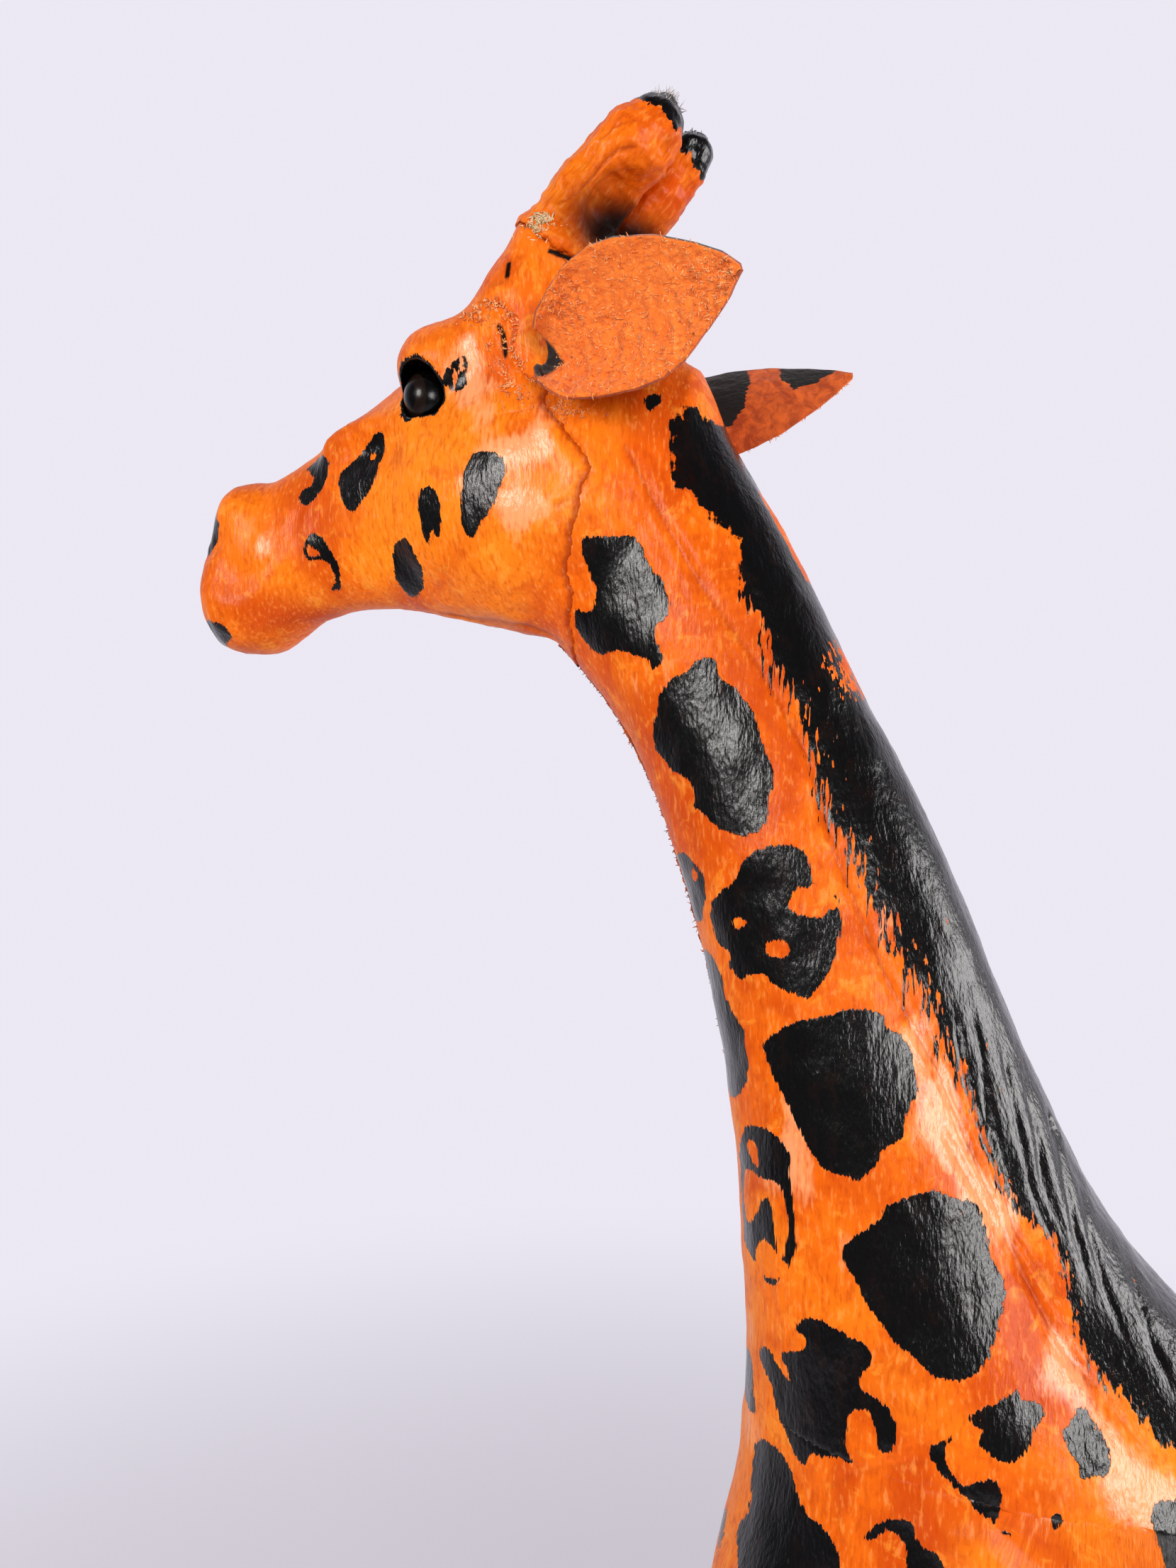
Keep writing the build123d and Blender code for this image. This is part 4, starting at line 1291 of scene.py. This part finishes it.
EAR_UPPER = [(0, 5), (0.06, 8.5), (0.15, 12.2), (0.27, 16.2), (0.4, 18.2), (0.52, 17.6), (0.69, 14.2),
             (0.84, 9.2), (0.94, 4.8), (1, 0.6)]
EAR_LOWER = [(0, 5), (0.06, 9), (0.2, 14.6), (0.37, 18), (0.49, 18.4), (0.59, 17.8), (0.69, 15.6),
             (0.82, 10.6), (0.93, 5.2), (1, 0.6)]
EAR_CURL_UP = [(0, 75), (0.12, 48), (0.35, 26), (0.7, 18), (1, 10)]  # degrees that each half bends through
EAR_CURL_LOW = [(0, 125), (0.15, 100), (0.35, 62), (0.6, 36), (1, 14)]
EAR_HALF = 18.0  # the ear's greatest half width
EAR_HALF_THICK = 0.75
EAR_NAP, EAR_EDGE_NAP = 1300, 40  # fibres on an ear's face and round its edge
EAR_STROKES = [  # black brushed on the back, as (share of length, share across)
    [(0.28, 1.1), (0.60, 1.1), (0.60, 0.3), (0.56, -0.3), (0.50, -0.55), (0.36, -0.5), (0.28, 0.2)],
    [(0.73, 1.1), (0.94, 1.1), (0.93, 0.45), (0.86, -0.1), (0.76, -0.2), (0.72, 0.3)],
]
# The painted shadow in the mouth of the rolled root, in millimetres along the ear and across it
EAR_HOLE = [(-3, -9), (4, -8.5), (6, -6.5), (4.5, -4), (2.5, -1), (0, 3), (-3, 3)]


def make_ear(side, root, tip, face, seed, upper_share=1.0, bow=1.0):
    """A cut leaf of leather, rolled at its root, flesh side out; bow is how far its middle bends in."""
    root, tip, face = (np.array(v, float) for v in (root, tip, face))
    length = np.linalg.norm(tip - root)
    along = (tip - root) / length
    face = face - (face @ along) * along
    face /= np.linalg.norm(face)
    across = np.cross(face, along)
    across *= np.sign(across[2])
    nu, nv = ((120, 72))
    u, v = np.meshgrid(np.linspace(0, 1, nu), np.linspace(-1, 1, nv), indexing="ij")
    u, v = u.ravel(), v.ravel()
    lower = v < 0
    width = np.where(lower, ear_shape(u, EAR_LOWER), upper_share * ear_shape(u, EAR_UPPER))
    curl = np.radians(np.where(lower, ear_shape(u, EAR_CURL_LOW), ear_shape(u, EAR_CURL_UP)))
    radius = width / np.sin(np.minimum(curl, math.pi / 2))
    side_step = np.sign(v) * radius * np.sin(curl * np.abs(v))
    out_step = radius * (1 - np.cos(curl * np.abs(v)))
    out_step -= bow * np.sin(math.pi * u)
    sheet = root + np.outer(u * length, along) + np.outer(side_step, across) + np.outer(out_step, face)
    wave = 0.35 * noise(sheet, 9, seed) * np.abs(v) ** 3
    sheet = sheet + wave[:, None] * across
    net = sheet.reshape(nu, nv, 3)
    normal = unit(np.cross(np.gradient(net, axis=0), np.gradient(net, axis=1)).reshape(-1, 3))
    if np.sum(normal[len(normal) // 2] * face) < 0:
        normal = -normal
    patchy = 0.35 + 0.65 * ramp(noise(sheet, 11, seed + 3) + 0.5 * ramp(v, 0.4, -0.6), -0.2, 0.6)
    fuzz = (0.60 * rough(sheet, 3.2, 3, seed + 1) + 0.55 * rough(sheet, 1.8, 2, seed + 2)) * patchy
    fuzz *= ramp(1 - np.abs(v), 0.0, 0.05)
    front = sheet + normal * (EAR_HALF_THICK + fuzz)[:, None]
    back = sheet - normal * (EAR_HALF_THICK + 0.12 * rough(sheet, (7, 7, 2), 2, seed + 4))[:, None]
    points = np.concatenate([front, back])
    index = np.arange(nu * nv).reshape(nu, nv)
    a, b, c, d = (part.ravel() for part in (index[:-1, :-1], index[1:, :-1], index[1:, 1:], index[:-1, 1:]))
    faces = [np.stack([a, b, c, d], 1), np.stack([d, c, b, a], 1) + nu * nv]
    rim = np.concatenate([index[:, 0], index[-1, 1:], index[-2::-1, -1], index[0, -2:0:-1]])
    ahead = np.roll(rim, -1)
    faces.append(np.stack([rim, rim + nu * nv, ahead + nu * nv, ahead], 1))
    faces = np.concatenate(faces)
    facing = np.cross(points[faces[0][1]] - points[faces[0][0]], points[faces[0][2]] - points[faces[0][0]])
    if facing @ normal[0] < 0:
        faces = faces[:, ::-1]
    piece = make_piece(f"ear_leaf_{side}", points, faces, SUEDE, "ear_leather", f"ear_{side}")
    grain = np.stack([u * length, side_step, out_step], 1)
    brushed = (np.array(line, float) * (length, EAR_HALF) for line in EAR_STROKES)
    strokes = np.maximum(*(depth_inside(line, u * length, v * EAR_HALF) for line in brushed))
    pit = 0.8 + depth_inside(np.array(EAR_HOLE, float), u * length, side_step)
    pit = pit + 0.4 * noise(sheet, 2.0, seed + 6)
    store(piece, "grain", np.tile(grain, (2, 1)))
    store(piece, "strokes", np.tile(strokes, 2))
    # painted shadow in the rolled root's mouth, on the flesh side only
    store(piece, "painted_shadow", np.concatenate([pit / 2, pit * 0]))
    store(piece, "back", np.repeat([0.0, 1.0], nu * nv))
    keep = (u > 0.05) & (u < 0.98)
    rng = np.random.default_rng(seed)
    chosen = rng.choice(np.nonzero(keep & (rng.random(len(u)) < patchy))[0], EAR_NAP, replace=False)
    edge = rng.choice(np.nonzero(keep & (np.abs(v) > 0.99))[0], EAR_EDGE_NAP)
    outward = np.outer(np.sign(v[edge]), across) + 0.5 * normal[edge]
    roots = np.concatenate([front[chosen], sheet[edge]])
    upright = normal[chosen] * 0.5 + rng.normal(0, 0.8, (len(chosen), 3)) + along * 0.4
    ways = np.concatenate([upright, outward])
    strands(f"ear_nap_{side}", rng, roots, ways, (0.8, 2.4), 0.28, 0.8, NAP, "ear_leather")


def strands(name, rng, roots, ways, lengths, radius, curl, material, slot, *replaced, rings=4):
    """Many little tapering fibres, each a closed three-sided tube that bends as it goes."""
    count = len(roots)
    ways = unit(ways)
    reach = rng.uniform(*lengths, count)[:, None] / rings
    bend = rng.normal(0, curl, (count, 3))
    aside = unit(np.cross(ways, rng.normal(0, 1, (count, 3))))
    other = np.cross(ways, aside)
    points, place, way = [], roots - ways * 0.4, ways
    for ring in range(rings):
        thick = radius * (1 - 0.8 * ring / (rings - 1))
        for corner in range(3):
            turn = corner * 2 * math.pi / 3
            points.append(place + thick * (math.cos(turn) * aside + math.sin(turn) * other))
        way = unit(way + bend / rings)
        place = place + way * reach
    points = np.stack(points, 1)
    faces = [[(r * 3 + c, r * 3 + (c + 1) % 3, r * 3 + 3 + (c + 1) % 3, r * 3 + 3 + c) for c in range(3)]
             for r in range(rings - 1)]
    faces = [f for ring in faces for f in ring]
    last = (rings - 1) * 3
    every = [[tuple(i * rings * 3 + k for k in f) for f in faces + [(2, 1, 0), (last, last + 1, last + 2)]]
             for i in range(count)]
    make_piece(name, points.reshape(-1, 3), [f for one in every for f in one], material, slot, *replaced)


NAP = simple_material("ear_nap", (0.66, 0.12, 0.012), (1.0, 0.50, 0.20), 0.5, 0.8, 0.05)
EYE_RADII, EYE_SET_BACK = (7.2, 7.9, 8.2), 2.8


def make_eye(side, sign):
    centre = EYE * (sign, 1, 1) - (sign * EYE_SET_BACK, 0, 0)

    def ball(x, y, z):
        return ellipsoid(x, y, z, centre, EYE_RADII)

    points, quads, out = hide_mesh(ball, centre - 10, centre + 10, SPACING["eye"])
    piece = make_piece(f"glass_eye_{side}", points, quads, GLASS, "glass_eye", f"eye_{side}")
    look = np.array([sign * 0.86, -0.50, -0.10])
    turn = np.degrees(np.arccos(np.clip(out @ look, -1, 1)))
    store(piece, "iris", ramp(turn, 24, 30) * ramp(turn, 56, 46))


def on_surface(field, points):
    """Points brought onto a surface, with the outward direction there."""
    points = settle(field, np.asarray(points, float), 12, 3.0)
    return points, unit(gradient(field, points))


def make_throat_lap():
    """The strip where the neck hide's edges overlap under the throat, torn along its near edge."""
    top, bottom, middle_x = 703.0, 560.0, 0.6
    proud, sunk = 0.9, 1.6  # how far the strip reaches out of the hide and into it

    def field(x, y, z):
        edge = 2.2 + 0.7 * np.sin(z * 0.83) + 0.5 * np.sin(z * 2.3) + 0.3 * np.sin(z * 5.1)
        strip = np.maximum(np.abs(x - middle_x) - edge, np.maximum(z - top, bottom - z))
        body = upper_field(x, y, z)
        return np.maximum(np.maximum(body - proud, -body - sunk), np.maximum(strip, y - neck_front(z)))

    points, quads, out = hide_mesh(field, (-6, -102, 556), (8, -36, 706), SPACING["lap"])
    points = points + out * (0.25 * rough(points, 3, 3, 61))[:, None]
    make_piece("throat_lap_strip", points, quads, RED_FRAY, "leather_skin", "throat_lap")
    rng = np.random.default_rng(62)
    count = 420
    z = 575 + 128 * rng.random(count) ** 0.75
    guess = np.stack([2.8 + rng.normal(0, 0.8, count), neck_front(z) - 20, z], 1)
    roots, out = on_surface(upper_field, guess)
    ways = out + rng.normal(0, 0.6, (count, 3)) + (0.2, 0, -0.2)
    strands("throat_fringe", rng, roots, ways, (0.8, 2.8), 0.34, 0.9, RED_FRAY, "leather_skin")


def neck_front(z):
    """y a little behind the front of the throat at a height z."""
    return np.interp(z, [556, 605, 632, 660, 682, 701, 712], [-20, -28, -36, -48, -60, -74, -84])


BROW_FRAYS = [  # y, z, how far they scatter along y and z, and how many
    (-114, 799, 3, 2, 60), (-107, 797, 3, 2, 80), (-103, 792, 2, 3, 110), (-104, 785, 2, 3, 90),
    (-101, 779, 2, 3, 110), (-95, 773, 3, 2, 150), (-88, 767, 4, 1.5, 150), (-80, 765, 5, 1.5, 80),
]


def make_frays():
    """Torn fibres at the horns' bases, the brow's slit and the ears' roots, and the tufts on the horns."""
    rng = np.random.default_rng(81)
    for side, sign in SIDES:
        count = 170
        guess = np.stack([sign * (23 + rng.normal(0, 0.8, count)), rng.normal(-92.3, 2.2, count),
                          rng.normal(819.6, 1.6, count)], 1)
        roots, out = on_surface(upper_field, guess)
        ways = out * 0.5 + rng.normal(0, 1, (count, 3)) * (0.3, 1, 1)
        strands(f"horn_tear_{side}", rng, roots, ways, (1.2, 3.8), 0.45, 1.1, CREAM_FIBRE, "fibre_tuft")
        tip = np.array([sign * 11.5, -59.5, 855.5])
        spread = rng.normal(0, 1, (150, 3)) * (2.4, 2.0, 1.2)
        roots, out = on_surface(upper_field, tip + spread)
        ways = out + rng.normal(0, 0.55, (150, 3)) + (0, 0.3, 0.5)
        reach = (1.5, 5.5) if sign > 0 else (0.6, 1.8)
        strands(f"horn_fluff_{side}", rng, roots, ways, reach, 0.22, 1.6,
                GREY_FIBRE if sign > 0 else BLACK_HAIR, "fibre_tuft", f"horn_tuft_{side}")
        roots = np.concatenate([
            np.stack([np.full(n, 30.0) * sign, rng.normal(y, wide, n), rng.normal(z, tall, n)], 1)
            for y, z, wide, tall, n in BROW_FRAYS])
        roots, out = on_surface(upper_field, roots)
        ways = out * 0.5 + rng.normal(0, 1, roots.shape) * (0.3, 0.8, 1)
        strands(f"brow_frays_{side}", rng, roots, ways, (0.7, 2.4), 0.42, 1.1, NAP, "leather_skin")


HOOF_ROWS = [(HOOF_TOP, -3, 11, 13), (20, -4, 13, 15.5), (8, -5.5, 15.5, 19), (0, -6, 16, 20)]
HOOF_AHEAD = 6.0  # how far the hoof's middle stands ahead of its leg's
CLEFT_BACK, CLEFT_HALF = -16.5, 1.5  # between the toes: its rear end, from the leg's y, and half its width


def make_hoof(end, leg_y, side, sign):
    """A hoof block with its cleft, black paint and a worn lower edge."""
    centre_x = sign * LEG_X
    block = leg_tube(leg_y - HOOF_AHEAD, HOOF_ROWS)

    def field(x, y, z):
        cleft = np.maximum(np.abs(np.abs(x) - LEG_X) - CLEFT_HALF, y - leg_y - CLEFT_BACK)
        body = smooth_cut(block(x, y, z), cleft, 1.2)
        return np.maximum(np.maximum(body, -z), z - HOOF_TOP)

    low, high = (centre_x - 18, leg_y - 36, -1.5), (centre_x + 18, leg_y + 12, HOOF_TOP + 1.5)
    points, quads, out = hide_mesh(field, low, high, SPACING["hoof"])
    bumpy = 0.3 * rough(points, 9, 3, 71) * ramp(points[:, 2], 0.5, 4)
    points = points + out * bumpy[:, None]
    make_piece(f"hoof_block_{end}_{side}", points, quads, HOOF_PAINT, "black_hoof", f"hoof_{end}_{side}")


def make_tail():
    """The wire's leather wrap, wound round it, and a tuft of black hair."""
    low, high = box_mm("tail_wrap")
    tuft_low, tuft_high = box_mm("tail_tuft")
    tail_y = (tuft_low[1] + tuft_high[1]) / 2

    def field(x, y, z):
        straight = np.sqrt(x**2 + (y - tail_y) ** 2)
        rump = limb(x, y, z, [((0, low[1] - 4, high[2] - 3.6), 4.2), ((0, tail_y - 9, high[2] - 3.8), 3.9),
                              ((0, tail_y - 2.5, high[2] - 7.5), 3.7), ((0, tail_y, high[2] - 15), 3.6),
                              ((0, tail_y, low[2] + 4), 3.0)], 2.0)
        wound = 0.35 * np.sin(1.35 * z + np.arctan2(x, y - tail_y)) ** 3
        return rump - wound * (straight < 8)

    box = (-7, low[1] - 9, low[2] - 2), (7, tail_y + 6, high[2] + 3)
    points, quads, _ = hide_mesh(field, *box, SPACING["tail"])
    make_piece("tail_leather", points, quads, RED_FRAY, "leather_skin", "tail_wrap")
    rng = np.random.default_rng(83)
    count = 420
    turn, out_by = rng.uniform(0, 2 * math.pi, count), 2.6 * np.sqrt(rng.random(count))
    roots = np.stack([out_by * np.cos(turn), tail_y + out_by * np.sin(turn),
                      rng.uniform(tuft_low[2] + 50, tuft_high[2], count)], 1)
    ways = np.stack([0.10 * np.cos(turn), 0.10 * np.sin(turn), -np.ones(count)], 1)
    ways += rng.normal(0, 0.03, (count, 3))
    strands("tail_hair", rng, roots, ways, (44, 62), 0.42, 0.10, BLACK_HAIR, "black_fibre", "tail_tuft",
            rings=7)


make_face()
make_neck()
make_body()
for side, sign in SIDES:
    make_horn(side, sign)
    make_eye(side, sign)
    for end, leg_y in (("front", FRONT_Y), ("rear", REAR_Y)):
        make_hoof(end, leg_y, side, sign)
make_ear("left", (33, -87.0, 782.5), (56, -25.6, 783.5), (0.86, -0.27, -0.43), 21, 1.0, 0.0)
make_ear("right", (-26, -94, 780), (-50, -17.6, 791.6), (-0.86, -0.27, -0.43), 23, 0.62)
make_throat_lap()
make_frays()
make_tail()

# ---------------------------------------------------------------- stage, light and camera

LENS, SENSOR = 26.0, 36.0
CAMERA_HEIGHT = 660.0
CAMERA_PLACE = (319.4, 46.6)
FLOOR_HALF = 40.0  # metres
WINDOWS = [  # name, place and aim in metres, size, watts, colour; the shiny patches reflect them
    ("front_window", (1.27, -0.66, 1.03), (0, -0.08, 0.73), 0.5, 11.5, (1.0, 0.97, 0.94)),
    ("side_window", (1.15, 0.67, 0.70), (0, 0.02, 0.56), 0.6, 12.5, (1.0, 0.98, 0.96)),
    ("rear_window", (-0.33, 1.27, 0.83), (0, 0.04, 0.56), 0.75, 12.5, (1.0, 0.98, 0.97)),
]


def make_stage():
    mesh = bpy.data.meshes.new("floor")
    corners = [(x * FLOOR_HALF, y * FLOOR_HALF, 0) for x, y in ((-1, -1), (1, -1), (1, 1), (-1, 1))]
    mesh.from_pydata(corners, [], [(0, 1, 2, 3)])
    floor = bpy.data.objects.new("floor", mesh)
    bpy.context.scene.collection.objects.link(floor)
    floor.data.materials.append(FLOOR_PAPER)


def make_camera():
    data = bpy.data.cameras.new("camera")
    data.lens, data.sensor_width = LENS, SENSOR
    camera = bpy.data.objects.new("camera", data)
    bpy.context.scene.collection.objects.link(camera)
    camera.location = (CAMERA_PLACE[0] * MM, CAMERA_PLACE[1] * MM, CAMERA_HEIGHT * MM)
    look = Vector((-math.cos(CAMERA_TURN), -math.sin(CAMERA_TURN), 0))
    camera.rotation_euler = look.to_track_quat("-Z", "Y").to_euler()
    data.clip_start = 0.01
    bpy.context.scene.camera = camera


def area_light(name, place, target, size, power, colour):
    data = bpy.data.lights.new(name, "AREA")
    data.shape, data.size = "DISK", size
    data.energy, data.color = power, colour
    lamp = bpy.data.objects.new(name, data)
    bpy.context.scene.collection.objects.link(lamp)
    lamp.location = place
    lamp.rotation_euler = (Vector(target) - Vector(place)).to_track_quat("-Z", "Y").to_euler()


make_stage()
make_camera()
for window in WINDOWS:
    area_light(*window)
world = bpy.data.worlds.new("pale_room")
world.use_nodes = True


class RoomGraph(Graph):
    """The world's nodes, by the same short calls."""

    def __init__(self, tree):
        self.tree = tree


room = RoomGraph(world.node_tree)
background = world.node_tree.nodes["Background"]
room.put(background.inputs["Color"], room_colour(room, room.node("TexCoord").outputs["Generated"]))
background.inputs["Strength"].default_value = 1.0
bpy.context.scene.world = world
bpy.context.scene.view_settings.view_transform = "Standard"
